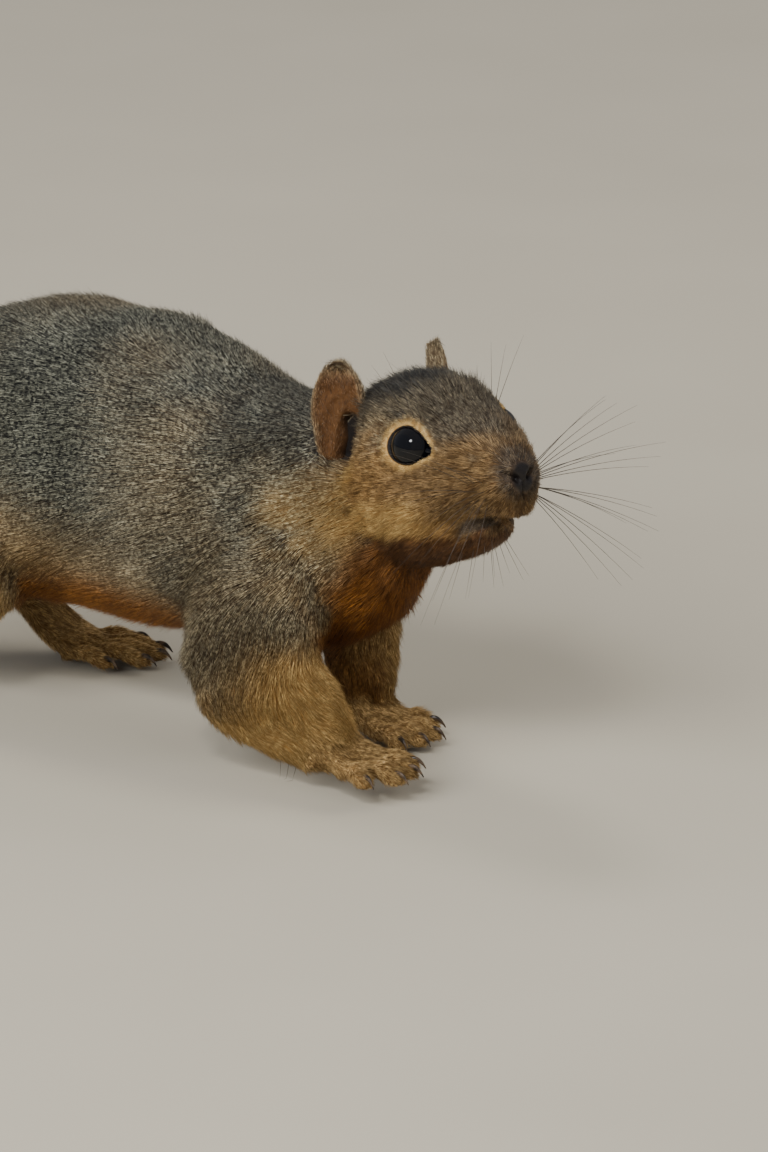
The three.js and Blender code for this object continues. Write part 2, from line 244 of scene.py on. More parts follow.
def tube(path, radii, sides=10):
    """A closed tube along a path, with its own radius at each point of it: points and triangles."""
    path, radii = np.asarray(path, float), np.asarray(radii, float)
    ahead = unit(np.gradient(path, axis=0))
    side = unit(np.cross(ahead, np.where(np.abs(ahead[:, 2:]) < 0.9, up_axis, (0, 1, 0))))
    over = np.cross(side, ahead)
    angles = np.arange(sides) * 2 * math.pi / sides
    rings = (
        path[:, None]
        + radii[:, None, None] * np.cos(angles)[None, :, None] * side[:, None]
        + radii[:, None, None] * np.sin(angles)[None, :, None] * over[:, None]
    )
    points = np.concatenate([rings.reshape(-1, 3), path[:1], path[-1:]])
    faces = []
    for i in range(len(path) - 1):
        for j in range(sides):
            a, b = i * sides + j, i * sides + (j + 1) % sides
            faces += [(a, b, b + sides), (a, b + sides, a + sides)]
    start, end, last = len(points) - 2, len(points) - 1, (len(path) - 1) * sides
    for j in range(sides):
        k = (j + 1) % sides
        faces += [(start, k, j), (end, last + j, last + k)]
    return points, np.array(faces)[:, ::-1]


def path_distance(points, path):
    """How far each point is from a path of straight stretches."""
    least = np.full(len(points), 1e9)
    for start, end in zip(np.array(path[:-1], float), np.array(path[1:], float)):
        along = end - start
        share = np.clip((points - start) @ along / (along @ along), 0, 1)
        least = np.minimum(least, np.linalg.norm(points - start - share[:, None] * along, axis=1))
    return least


def along_path(points, path, width):
    """1 on a path, and falling away smoothly to each side of it."""
    return np.exp(-((path_distance(points, path) / width) ** 2))


def joined(solids):
    """Several lots of points and triangles as one."""
    starts = np.cumsum([0] + [len(points) for points, _ in solids])
    faces = [own_faces + start for (_, own_faces), start in zip(solids, starts)]
    return np.concatenate([points for points, _ in solids]), np.concatenate(faces)


def make_mesh(name, points, faces):
    """A smooth mesh of triangles in the loaded frame, from points of the animal's own frame."""
    mesh = bpy.data.meshes.new(name)
    mesh.vertices.add(len(points))
    mesh.vertices.foreach_set("co", metres(points).astype(np.float32).ravel())
    mesh.loops.add(faces.size)
    mesh.loops.foreach_set("vertex_index", faces.astype(np.int32).ravel())
    mesh.polygons.add(len(faces))
    mesh.polygons.foreach_set("loop_start", np.arange(0, faces.size, 3, dtype=np.int32))
    mesh.update(calc_edges=True)
    mesh.shade_smooth()
    return mesh


def add_piece(name, mesh):
    """An object that shows a mesh."""
    piece = bpy.data.objects.new(name, mesh)
    bpy.context.collection.objects.link(piece)
    return piece


def plain_copy(piece):
    """The points and triangles of a piece with its modifiers applied, in the animal's frame."""
    mesh = bpy.data.meshes.new_from_object(piece.evaluated_get(bpy.context.evaluated_depsgraph_get()))
    corners = np.empty(len(mesh.vertices) * 3)
    mesh.vertices.foreach_get("co", corners)
    mesh.calc_loop_triangles()
    faces = np.empty(len(mesh.loop_triangles) * 3, int)
    mesh.loop_triangles.foreach_get("vertices", faces)
    bpy.data.meshes.remove(mesh)
    return (corners.reshape(-1, 3) - place) / MM, faces.reshape(-1, 3)


def discard(piece):
    """Removes a working object and its mesh."""
    mesh = piece.data
    bpy.data.objects.remove(piece)
    bpy.data.meshes.remove(mesh)


# The brush's middle and half sizes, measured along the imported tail, and the thin tail inside it.
BRUSH_STEP = 6
TAIL_ROOT = np.array([-88.0, 0, 50])
TAIL_SPOTS = 9000  # scattered over each of the tail's solids to measure it
TAIL_TIP_RADIUS, TAIL_TAPER = 2.6, 8.5
skin_rng = np.random.default_rng(11)
brush_points = np.concatenate(
    [spread_points(*solid_surface("tail_" + end), TAIL_SPOTS, skin_rng) for end in ("base", "middle", "tip")]
)
brush_stations = np.arange(TAIL_ROOT[0], brush_points[:, 0].min() + 1, -BRUSH_STEP)
brush_low, brush_high = [TAIL_ROOT], [TAIL_ROOT]
for x in brush_stations[1:]:
    section = brush_points[np.abs(brush_points[:, 0] - x) < BRUSH_STEP * 0.6]
    brush_low.append(section.min(axis=0))
    brush_high.append(section.max(axis=0))
brush_middle = np.add(brush_low, brush_high) / 2
brush_middle[:, 0] = brush_stations
brush_half = np.subtract(brush_high, brush_low) / 2
for _ in range(2):
    for row in (brush_middle, brush_half):
        row[1:-1] = (row[:-2] + 2 * row[1:-1] + row[2:]) / 4
tail_share = np.linspace(0, 1, len(brush_stations))
tail_core_radius = TAIL_TAPER * (1 - tail_share) ** 1.2 + TAIL_TIP_RADIUS


def swollen(points, faces, by):
    """A solid grown by so much all over."""
    return points + point_normals(points, faces) * by, faces


# Where each limb's last joint is and how high, how far its foot is turned outward and raised, and the height
# of the heel.
LIMBS = {
    "hand_right": {"side": RIGHT, "at": (75, -21.8), "height": 6.5, "turn": 9, "lift": 3},
    "hand_left": {"side": LEFT, "at": (57.5, 11.5), "height": 9.5, "turn": -2, "lift": 0},
    "hind_foot_right": {"side": RIGHT, "at": (-87, -30), "height": 16, "turn": -9, "lift": 0, "heel": 3},
    "hind_foot_left": {"side": LEFT, "at": (-56, 5), "height": 29, "turn": 20, "lift": 0, "heel": 21},
}
METATARSUS = 30
FINGER_FLESH, TOE_FLESH = 2.25, 2.0  # half the thickness of a digit
# Knuckles across a foot: how far ahead and outward each is, and how long and splayed its digit.
FINGERS = [(5.5, 6, 7.5, 0.5), (9.5, 2.6, 9, 0.14), (10, -1.3, 9, -0.08), (8.5, -4.8, 8, -0.3)]
TOES = [(2, 6.6, 11, 0.4), (6, 3.3, 14.5, 0.16), (7, 0, 15.5, 0), (6, -3.3, 14.5, -0.14), (1, -6.4, 11, -0.32)]
# The pads of a palm, and of a sole from its ball: how far ahead and outward each is.
PALM_PADS = [(4, 3.2), (5, -2.4), (9, 0.8)]
SOLE_PADS = [(-1, 4), (2.5, 0), (-1, -4)]
PAD_RADIUS = 2.4


def set_down(points, limb):
    """Points of a foot modelled at its joint, turned and set down where its limb ends."""
    turn = math.radians(limb["turn"])
    points = np.asarray(points, float)
    x = points[:, 0] * math.cos(turn) - points[:, 1] * math.sin(turn) + limb["at"][0]
    y = points[:, 0] * math.sin(turn) + points[:, 1] * math.cos(turn) + limb["at"][1]
    return np.stack([x, y, points[:, 2] + limb["lift"]], axis=1)


paw_tubes = []
digit_ends = []
for paw, limb in LIMBS.items():
    side, heel = limb["side"], limb.get("heel")
    is_hand = heel is None
    ball = 0 if is_hand else math.sqrt(METATARSUS**2 - heel**2)
    flesh = FINGER_FLESH if is_hand else TOE_FLESH
    for ahead, out, reach, splay in FINGERS if is_hand else TOES:
        # The bones behind the knuckle, then the digit: up to its joint and down to its pad and its tip.
        if is_hand:
            root = [(-3, out * 0.25 * side, limb["height"]), (2.5, out * 0.55 * side, 5.6)]
            root_radii = [5, 4.1]
        else:
            root = [
                (-3, out * 0.3 * side, heel + 5.5),
                (0.35 * ball, out * 0.45 * side, 0.62 * heel + 4.6),
                (0.8 * ball, out * 0.8 * side, 0.15 * heel + 4),
            ]
            root_radii = [4, 3.6, 3]
        knuckle = np.array([ball + ahead, side * out, flesh + 1.6])
        along = np.array([1, side * splay, 0])
        rising = knuckle + along * reach * 0.24 + (0, 0, 0.8)
        joint = knuckle + along * reach * 0.48 + (0, 0, 0.9)
        pad = knuckle + along * reach * 0.86 - (0, 0, flesh * 0.35)
        tip = knuckle + along * (reach + 0.9) - (0, 0, 0.9)
        digit_radii = [*root_radii, flesh * 1.2, flesh * 0.95, flesh * 1.08, flesh * 0.98, flesh * 0.5]
        placed = set_down([*root, knuckle, rising, joint, pad, tip], limb)
        paw_tubes.append((paw, *tube(placed, digit_radii)))
        digit_ends.append((*set_down([tip, tip + along], limb), flesh))
    for ahead, out in PALM_PADS if is_hand else SOLE_PADS:
        middle = np.array([ball + ahead, out * side, 2.6])
        pad_path = set_down([middle - (2, 0, 0), middle, middle + (2, 0, 0)], limb)
        paw_tubes.append((paw, *tube(pad_path, [PAD_RADIUS - 1, PAD_RADIUS, PAD_RADIUS - 1])))

EAR_HEIGHT = 27
EAR_WIDTH = 14.5
EAR_THICKNESS = 1.5
EAR_CUP = 4.5
EAR_LEAN = math.radians(-3)
EAR_TURN = math.radians(63)
EAR_TILT = math.radians(5)  # forward, with the head
EAR_ROOT = np.array([-20.5, 16.5, -0.5])


def ear_turn(side):
    """How an ear stands in the head."""
    lean = Matrix.Rotation(side * EAR_TURN, 3, "Z") @ Matrix.Rotation(-side * EAR_LEAN, 3, "X")
    return np.array(Matrix.Rotation(EAR_TILT, 3, "Y") @ lean)


def from_ear(points, side):
    """Points given in an upright ear that is open ahead, in the animal's frame."""
    return from_head(points @ ear_turn(side).T + EAR_ROOT * (1, side, 1))


def to_ear(points, side):
    """Points of the animal's frame, seen in an upright ear that is open ahead."""
    return (to_head(points) - EAR_ROOT * (1, side, 1)) @ ear_turn(side)


def ear_half_width(height):
    """Half the width of the ear at a share of its height: widest at the middle and round at the top."""
    crown = np.sqrt(np.clip(1 - np.maximum(0, (height - 0.52) / 0.48) ** 2, 0.0001, 1))
    return EAR_WIDTH / 2 * crown * (0.62 + 0.38 * np.minimum(1, height / 0.5))


def ear_cup(across, height):
    """How far the ear's back lies behind its rim, at shares of its half width and of its height."""
    return EAR_CUP * (1 - 0.45 * height) * (across**2 - 1) - 1.5 * height


def ear_place(points, side):
    """Points seen in an ear, with shares: how far up it each is, and how near its rim."""
    inner = to_ear(points, side)
    height = np.clip(inner[:, 2] / EAR_HEIGHT, 0, 1)
    return inner, height, np.maximum(np.abs(inner[:, 1]) / ear_half_width(height), height)


# The relief inside an ear, as paths: how far ahead of its middle line, and how far up. The slit is the
# hollow behind the front rim, painted dark as shade.
EAR_SLIT = [(1.2, 4.5), (2.4, 8.5), (2.0, 12.5)]
EAR_RIDGE = [(-2.2, 4), (-1.6, 11), (0.2, 16)]
EAR_SHELF = [(-5, 13), (-3, 18), (1.5, 20.5)]


def ear_sheet(side, rows=44, columns=30):
    """An ear as a closed, cupped sheet: a rolled front edge, a slit behind it and a ridge beside the slit."""
    upward = np.linspace(0, 1, rows + 1)
    upward = upward * (1.35 - 0.35 * upward)
    height, across = np.meshgrid(upward, np.linspace(-1, 1, columns + 1), indexing="ij")
    half = ear_half_width(height)
    edge = np.sqrt(np.clip(1 - np.maximum(np.abs(across), height * 0.97) ** 6, 0.03, 1))
    forward = -side * across
    roll = 0.9 * ease(0.72, 0.9, np.maximum(np.abs(across), height))
    roll += 0.9 * ease(0.7, 0.95, forward) * ease(0.95, 0.6, height)
    flat = np.stack([forward * half, height * EAR_HEIGHT], axis=-1).reshape(-1, 2)
    slit, ridge, shelf = (
        along_path(flat, path, width).reshape(height.shape)
        for path, width in ((EAR_SLIT, 1.9), (EAR_RIDGE, 1.2), (EAR_SHELF, 1.1))
    )
    cup = ear_cup(across, height) - 2.8 * slit
    thick = EAR_THICKNESS * (1 - 0.3 * across**2) * edge + (roll + 1.1 * ridge + 0.55 * shelf) * edge
    back = np.stack([cup, across * half, height * EAR_HEIGHT], axis=-1).reshape(-1, 3)
    front = back + np.stack([thick, 0 * cup, 0 * cup], axis=-1).reshape(-1, 3)
    row, size = columns + 1, (rows + 1) * (columns + 1)
    faces = []
    for i in range(rows):
        for j in range(columns):
            a = i * row + j
            faces += [(a, a + 1, a + 1 + row), (a, a + 1 + row, a + row)]
            b = a + size
            faces += [(b, b + row, b + row + 1), (b, b + row + 1, b + 1)]
    rim = [*range(columns), *range(columns, rows * row + columns, row)]
    rim += [*range(rows * row + columns, rows * row, -1), *range(rows * row, 0, -row)]
    for a, b in zip(rim, rim[1:] + rim[:1]):
        faces += [(a, a + size, b + size), (a, b + size, b)]
    return from_ear(np.concatenate([front, back]), side), np.array(faces)


sources = []
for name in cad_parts:
    if name in PAWS or name.startswith(("tail_", "ear_")):
        continue
    sources.append((name, *swollen(*solid_surface(name), 0 if name.startswith("eye_") else JOIN_OVER)))
sources += paw_tubes
# Flesh and loose skin that fill the hollow between each cheek and shoulder, and behind the left forearm.
sources.append(("forearm_left", *tube([(50, 13, 38), (53, 7.5, 23), (55, 7, 14)], [8, 6.5, 4], 16)))
for side in (RIGHT, LEFT):
    nape_path = [
        from_head((-16, side * 9, -9)),
        from_head((-27, side * 10, -9)),
        (56, side * 13, 62),
        (44, side * 15, 60),
    ]
    sources.append(("neck", *tube(nape_path, [7.5, 9.5, 12, 10], 16)))
tail_path = np.concatenate([[[-70, 0, 62]], brush_middle[1:]])
tail_radii = np.concatenate([[9], tail_core_radius[1:]])
sources.append(("tail", *tube(tail_path, tail_radii, 16)))

PARTS = sorted({name for name, _, _ in sources} | {name for _, name in EARS})
rough = add_piece("rough_skin", make_mesh("rough_skin", *joined([solid for _, *solid in sources])))
fusing = rough.modifiers.new("fuse", "REMESH")
fusing.mode = "VOXEL"
fusing.voxel_size = SKIN_GRAIN * MM
points, faces = plain_copy(rough)
discard(rough)

# Which part of the body each point of the skin belongs to, from the nearest of many spots on the solids.
SOLID_SPOTS, DIGIT_SPOTS = 3500, 400
DIGIT_POINTS = 200  # a digit's tube has fewer points than this
seeds = []
for name, own_points, own_faces in sources:
    count = DIGIT_SPOTS if len(own_points) < DIGIT_POINTS else SOLID_SPOTS
    seeds.append((name, spread_points(own_points, own_faces, count, skin_rng)))
nearest = KDTree(sum(len(scattered) for _, scattered in seeds))
seed_part = []
for name, scattered in seeds:
    for spot in scattered:
        nearest.insert(spot, len(seed_part))
        seed_part.append(PARTS.index(name))
nearest.balance()
seed_part = np.array(seed_part)


def parts_of(points):
    """The index in PARTS of the part of the body nearest to each point."""
    return seed_part[[nearest.find(spot)[1] for spot in points]]


# The body's skin gets a wider grain than the skin of the head, the ears and the paws.
BODY_KEPT = 0.38
fine_parts = [i for i, name in enumerate(PARTS) if name.startswith(("head", "ear", "eye", "lower", *PAWS))]
part = parts_of(points)
dense = add_piece("dense_skin", make_mesh("dense_skin", points, faces))
coarse = dense.vertex_groups.new(name="coarse")
coarse.add(np.flatnonzero(~np.isin(part, fine_parts)).tolist(), 1.0, "REPLACE")
thinning = dense.modifiers.new("thin", "DECIMATE")
thinning.ratio = BODY_KEPT
thinning.vertex_group = "coarse"
points, faces = plain_copy(dense)
discard(dense)


def smoothed(values, faces, rounds, hold=None):
    """Values at a mesh's points, each drawn toward its neighbours' mean; hold keeps some where they are."""
    here, there = faces.ravel(), np.roll(faces, -1, axis=1).ravel()
    near = np.maximum(np.bincount(here, minlength=len(values)), 1)[:, None]
    values = values.astype(float).reshape(len(values), -1)
    pull = 0.6 * (1 if hold is None else 1 - hold[:, None])
    for _ in range(rounds):
        total = [np.bincount(here, weights=row[there], minlength=len(values)) for row in values.T]
        values = values + pull * (np.stack(total, axis=1) / near - values)
    return values


def is_part(part, *prefixes):
    """Which points belong to the parts with these names."""
    return np.isin(part, [i for i, name in enumerate(PARTS) if name.startswith(prefixes)])


def by_part(table, otherwise=None):
    """A table's row for each of PARTS, found by the start of the part's name."""
    rows = [[row for key, row in table.items() if name.startswith(key)] for name in PARTS]
    return np.array([found[0] if found else otherwise for found in rows])


# The facets of the solids are eased away, most on the trunk and least round the mouth and the digits. Each of
# these parts keeps such a share of its own shape.
KEPT = {
    "hand": 0.96,
    "hind_foot": 0.96,
    "eye": 0.9,
    "head": 0.25,
    "lower_jaw": 0.93,
    "forearm": 0.45,
    "shank": 0.45,
    "tail": 0.45,
}
part = parts_of(points)
muzzle_front = ease(12, 20, to_head(points)[:, 0]) * is_part(part, "head")
hold = by_part(KEPT, 0)[part] + 0.68 * muzzle_front
hold = smoothed(hold, faces, 4)[:, 0]
eased = smoothed(points, faces, 60, hold)
eased_normals = point_normals(eased, faces)
lost = smoothed(np.sum((points - eased) * eased_normals, axis=1), faces, 40)
points = eased + eased_normals * lost  # so that the body keeps its bulk

# How the coat lies on each part: its depth over the skin, the length and width of a lock, how many times over
# the locks cover the skin, and how steeply they rise from it.
COATS = {
    "head": (0.7, 2.8, 0.26, 5.0, 0.34),
    "eye": (0.5, 2.2, 0.24, 5.0, 0.28),
    "lower_jaw": (0.6, 2.7, 0.26, 5.0, 0.3),
    "ear": (0.1, 1.7, 0.22, 2.6, 0.3),
    "neck": (1.6, 4.0, 0.27, 5.0, 0.38),
    "trunk": (2.2, 4.4, 0.28, 5.0, 0.38),
    "upper_arm": (1.5, 4.2, 0.28, 5.0, 0.36),
    "forearm": (1.0, 3.8, 0.28, 5.5, 0.34),
    "hand": (0.2, 2.4, 0.25, 4.5, 0.34),
    "thigh": (2.0, 4.4, 0.29, 5.0, 0.36),
    "shank": (1.1, 4.2, 0.29, 5.5, 0.32),
    "hind_foot": (0.2, 2.4, 0.26, 4.0, 0.3),
    "tail": (0.2, 8, 0.6, 1.0, 0.3),
}
coat_of_part = by_part(COATS)
part = parts_of(points)
coat = smoothed(coat_of_part[part], faces, 14)
depth = coat[:, :1] + JOIN_OVER * ~is_part(part, *PAWS, "tail")[:, None]
points = smoothed(points - point_normals(points, faces) * depth, faces, 3, hold)

# The face: lids round the open eyes, with a drawn-out front corner; nostrils, lips and cheeks.
EYE_OUTWARD = unit(np.array([0.35, 0.90, 0.25]))
EYE_FORWARD = np.array([0.98, 0, -0.17])
EYE_OPEN = 4.6
EYE_STRETCH = 0.07  # the opening is this share longer and lower than a circle
EYE_CORNER = 1.7
EYE_CORNER_ANGLE = 0.34  # half the spread of the drawn-out corner
LID_THICKNESS = 0.35


def near_eye(seen, side, within):
    """Which points are within so far of the middle of an eye."""
    return np.linalg.norm(seen - EYE_AT * (1, side, 1), axis=1) < within


def eye_axes(side):
    """The outward, forward and upward directions of an eye, in the head."""
    outward = EYE_OUTWARD * (1, side, 1)
    forward = unit(EYE_FORWARD - EYE_FORWARD @ outward * outward)
    upward = np.cross(forward, outward) * -side
    return outward, forward, upward * np.sign(upward[2])


def past_the_lid(seen, side):
    """How far points lie outside the rim of the eye's opening, how far out along the eye's axis and how far
    from that axis, and the way straight away from the rim."""
    outward, forward, upward = eye_axes(side)
    offset = seen - EYE_AT * (1, side, 1)
    ahead, above, out = offset @ forward, offset @ upward, offset @ outward
    reach, bearing = np.maximum(np.hypot(ahead, above), 0.01), np.arctan2(above, ahead)
    corner = EYE_CORNER * np.exp(-((bearing / EYE_CORNER_ANGLE) ** 2))
    edge = EYE_OPEN * (1 + EYE_STRETCH * np.cos(2 * bearing)) + corner
    slope = -2 * EYE_OPEN * EYE_STRETCH * np.sin(2 * bearing) - 2 * bearing / EYE_CORNER_ANGLE**2 * corner
    slope = slope / reach
    steep = np.sqrt(1 + slope**2)
    radial = (ahead[:, None] * forward + above[:, None] * upward) / reach[:, None]
    around = (ahead[:, None] * upward - above[:, None] * forward) / reach[:, None]
    away = (radial - slope[:, None] * around) / steep[:, None]
    return (reach - edge) / steep, out, reach, away


# A finer grain round the eyes, the nose and the mouth, and the finest at the rims of the lids.
work = bmesh.new()
for spot in points:
    work.verts.new(spot)
work.verts.ensure_lookup_table()
for corners in faces:
    work.faces.new([work.verts[i] for i in corners])
for stage in ("face", "lid"):
    work.verts.index_update()
    seen = to_head(np.array([vert.co[:] for vert in work.verts]))
    finer = (seen[:, 0] > 13) & (seen[:, 2] > -20) & (seen[:, 2] < 4) & (stage == "face")
    for side in (RIGHT, LEFT):
        beyond, out = past_the_lid(seen, side)[:2]
        finer |= near_eye(seen, side, 11) & ((stage == "face") | ((np.abs(beyond) < 1.2) & (out > 0)))
    split = [edge for edge in work.edges if finer[edge.verts[0].index] and finer[edge.verts[1].index]]
    bmesh.ops.subdivide_edges(work, edges=split, cuts=1, use_grid_fill=True)
    bmesh.ops.triangulate(work, faces=work.faces)
work.verts.index_update()
points = np.array([vert.co[:] for vert in work.verts])
faces = np.array([[vert.index for vert in face.verts] for face in work.faces])
work.free()

seen = to_head(points)
part = parts_of(points)
for side in (RIGHT, LEFT):
    outward = eye_axes(side)[0]
    beyond, out, reach, away = past_the_lid(seen, side)
    facing = (out > 0) & (beyond < 6) & near_eye(seen, side, 13)
    # The points nearest the rim of the opening are drawn onto it, so that the lid has a clean edge.
    at_rim = facing & (np.abs(beyond) < 0.17)
    seen = seen - np.where(at_rim, beyond, 0)[:, None] * away
    beyond = np.where(at_rim, 0, beyond)
    ball_level = np.sqrt(np.maximum(EYE_RADIUS**2 - np.minimum(reach, EYE_OPEN * 1.07) ** 2, 0))
    lid_level = ball_level + LID_THICKNESS
    raised = np.maximum(lid_level - out, 0) * ease(2.8, 0, beyond) * ease(8.5, 5.4, reach)
    crease = -0.35 * np.exp(-(((beyond - 3.2) / 0.8) ** 2))
    under_ball = np.sqrt(np.maximum(EYE_RADIUS**2 - reach**2, 0)) - 0.7
    sunk = np.where(reach < EYE_RADIUS * 0.95, np.minimum(out, under_ball), out - 1.1)
    target = np.where(beyond < 0, sunk, out + raised + crease)
    seen = seen + np.where(facing, target - out, 0)[:, None] * outward

# The folds of the face: how high or deep each is, how wide, and its path on the left of the head.
FACE_FOLDS = {
    "nostril": (-1.9, 0.8, [(26.2, 4.6, -1.2), (28.2, 3.3, -1.9), (29.2, 1.7, -3.2)]),
    "nostril_wing": (0.5, 1.2, [(26.8, 4.0, 0.4), (28.6, 2.4, -0.2)]),
    "mouth": (-2.4, 0.9, [(25.4, 0, -11.6), (23, 3.6, -12), (18.8, 6.4, -12.8), (13.2, 8.6, -13.6)]),
    "upper_lip": (0.8, 2.4, [(25, 2.2, -9.6), (20, 7.2, -9.4)]),
    "brow": (0.7, 2.6, [(0, 12.5, 13.2), (8, 11.6, 12.2)]),
}
WHISKER_PAD = np.array([19.5, 8, -5.5])
PHILTRUM = [(29.5, 0, -4), (27.6, 0, -8), (25.2, 0, -11.6)]
hide_normals = point_normals(from_head(seen), faces) @ head_turn
folds = -0.7 * along_path(seen, PHILTRUM, 0.6)
for side in (RIGHT, LEFT):
    mirrored = seen * (1, side, 1)
    for rise, width, path in FACE_FOLDS.values():
        folds += rise * along_path(mirrored, path, width)
    folds += 0.6 * np.exp(-((np.linalg.norm(mirrored - WHISKER_PAD, axis=1) / 4) ** 2))
folds *= is_part(part, "head", "lower_jaw")
seen = seen + hide_normals * folds[:, None]
# The upper lip is full in front and hangs over the lower one, which draws back under it.
lip_fill = 2.6 * np.exp(-((np.linalg.norm((seen - (25, 0, -10)) * (1, 0.5, 1), axis=1) / 3) ** 2))
lip_fill *= is_part(part, "head") * ease(-15, -12.5, seen[:, 2])
seen = seen + lip_fill[:, None] * (0.55, 0, -0.83)
seen[:, 0] -= 2.2 * ease(14, 20, seen[:, 0]) * is_part(part, "lower_jaw")
points = from_head(seen)
# The hollow of each ear opens the side of the head in front of it.
pocket = np.zeros(len(points))
for side in (RIGHT, LEFT):
    inner, height, _ = ear_place(points, side)
    across = inner[:, 1] / ear_half_width(height)
    opened = ease(1.12, 0.98, np.abs(across)) * ease(1.5, 4, inner[:, 2])
    opened *= (inner[:, 2] < 24) * (np.abs(inner[:, 0]) < 14)
    over = np.maximum(inner[:, 0] - ear_cup(np.clip(across, -1, 1), height) - 0.3, 0) * opened
    points = points - over[:, None] * (head_turn @ ear_turn(side) @ (1, 0, 0))
    pocket = np.maximum(pocket, opened * ease(0.2, 0.8, over))

# The ears, set into the head behind the cheeks.
for side, name in EARS:
    ear_points, ear_faces = ear_sheet(side)
    points, faces = joined([(points, faces), (ear_points, ear_faces)])
    part = np.concatenate([part, np.full(len(ear_points), PARTS.index(name))])
    pocket = np.concatenate([pocket, np.zeros(len(ear_points))])

# Markings. Each is a share of the coat's colour at a point: tawny, rufous, dark and pale, over the grizzle.
# Some of the dark is painted shade about the mouth and jaw, and some of the pale painted light on the
# right arm.
UNDER_LINE_X = (-100, -60, -23, -4, 13, 30, 50, 64, 74, 84)
UNDER_LINE_Z = (46, 42, 40, 39, 36, 33, 36, 44, 57, 66)
NOSE_AT = np.array([29.2, 0, -3])
LIP_EDGE = [(26, 0, -12), (22, 2, -12.4), (18.2, 2.6, -12.8), (15.7, 4.6, -13), (12.8, 6.8, -13.8)]
CHEEK_CREASE = [(-11, 18.8, 2), (-14.5, 19.2, -4), (-17, 19.4, -11)]
hide_normals = point_normals(points, faces)
seen = to_head(points)
wander = smoothed(np.random.default_rng(5).normal(size=(len(points), 2)), faces, 30)
wander /= wander.std(axis=0)


def ear_opening(normals, side):
    """How far the skin faces the way that an ear opens, from -1 to 1."""
    return (normals @ head_turn @ ear_turn(side))[:, 0]


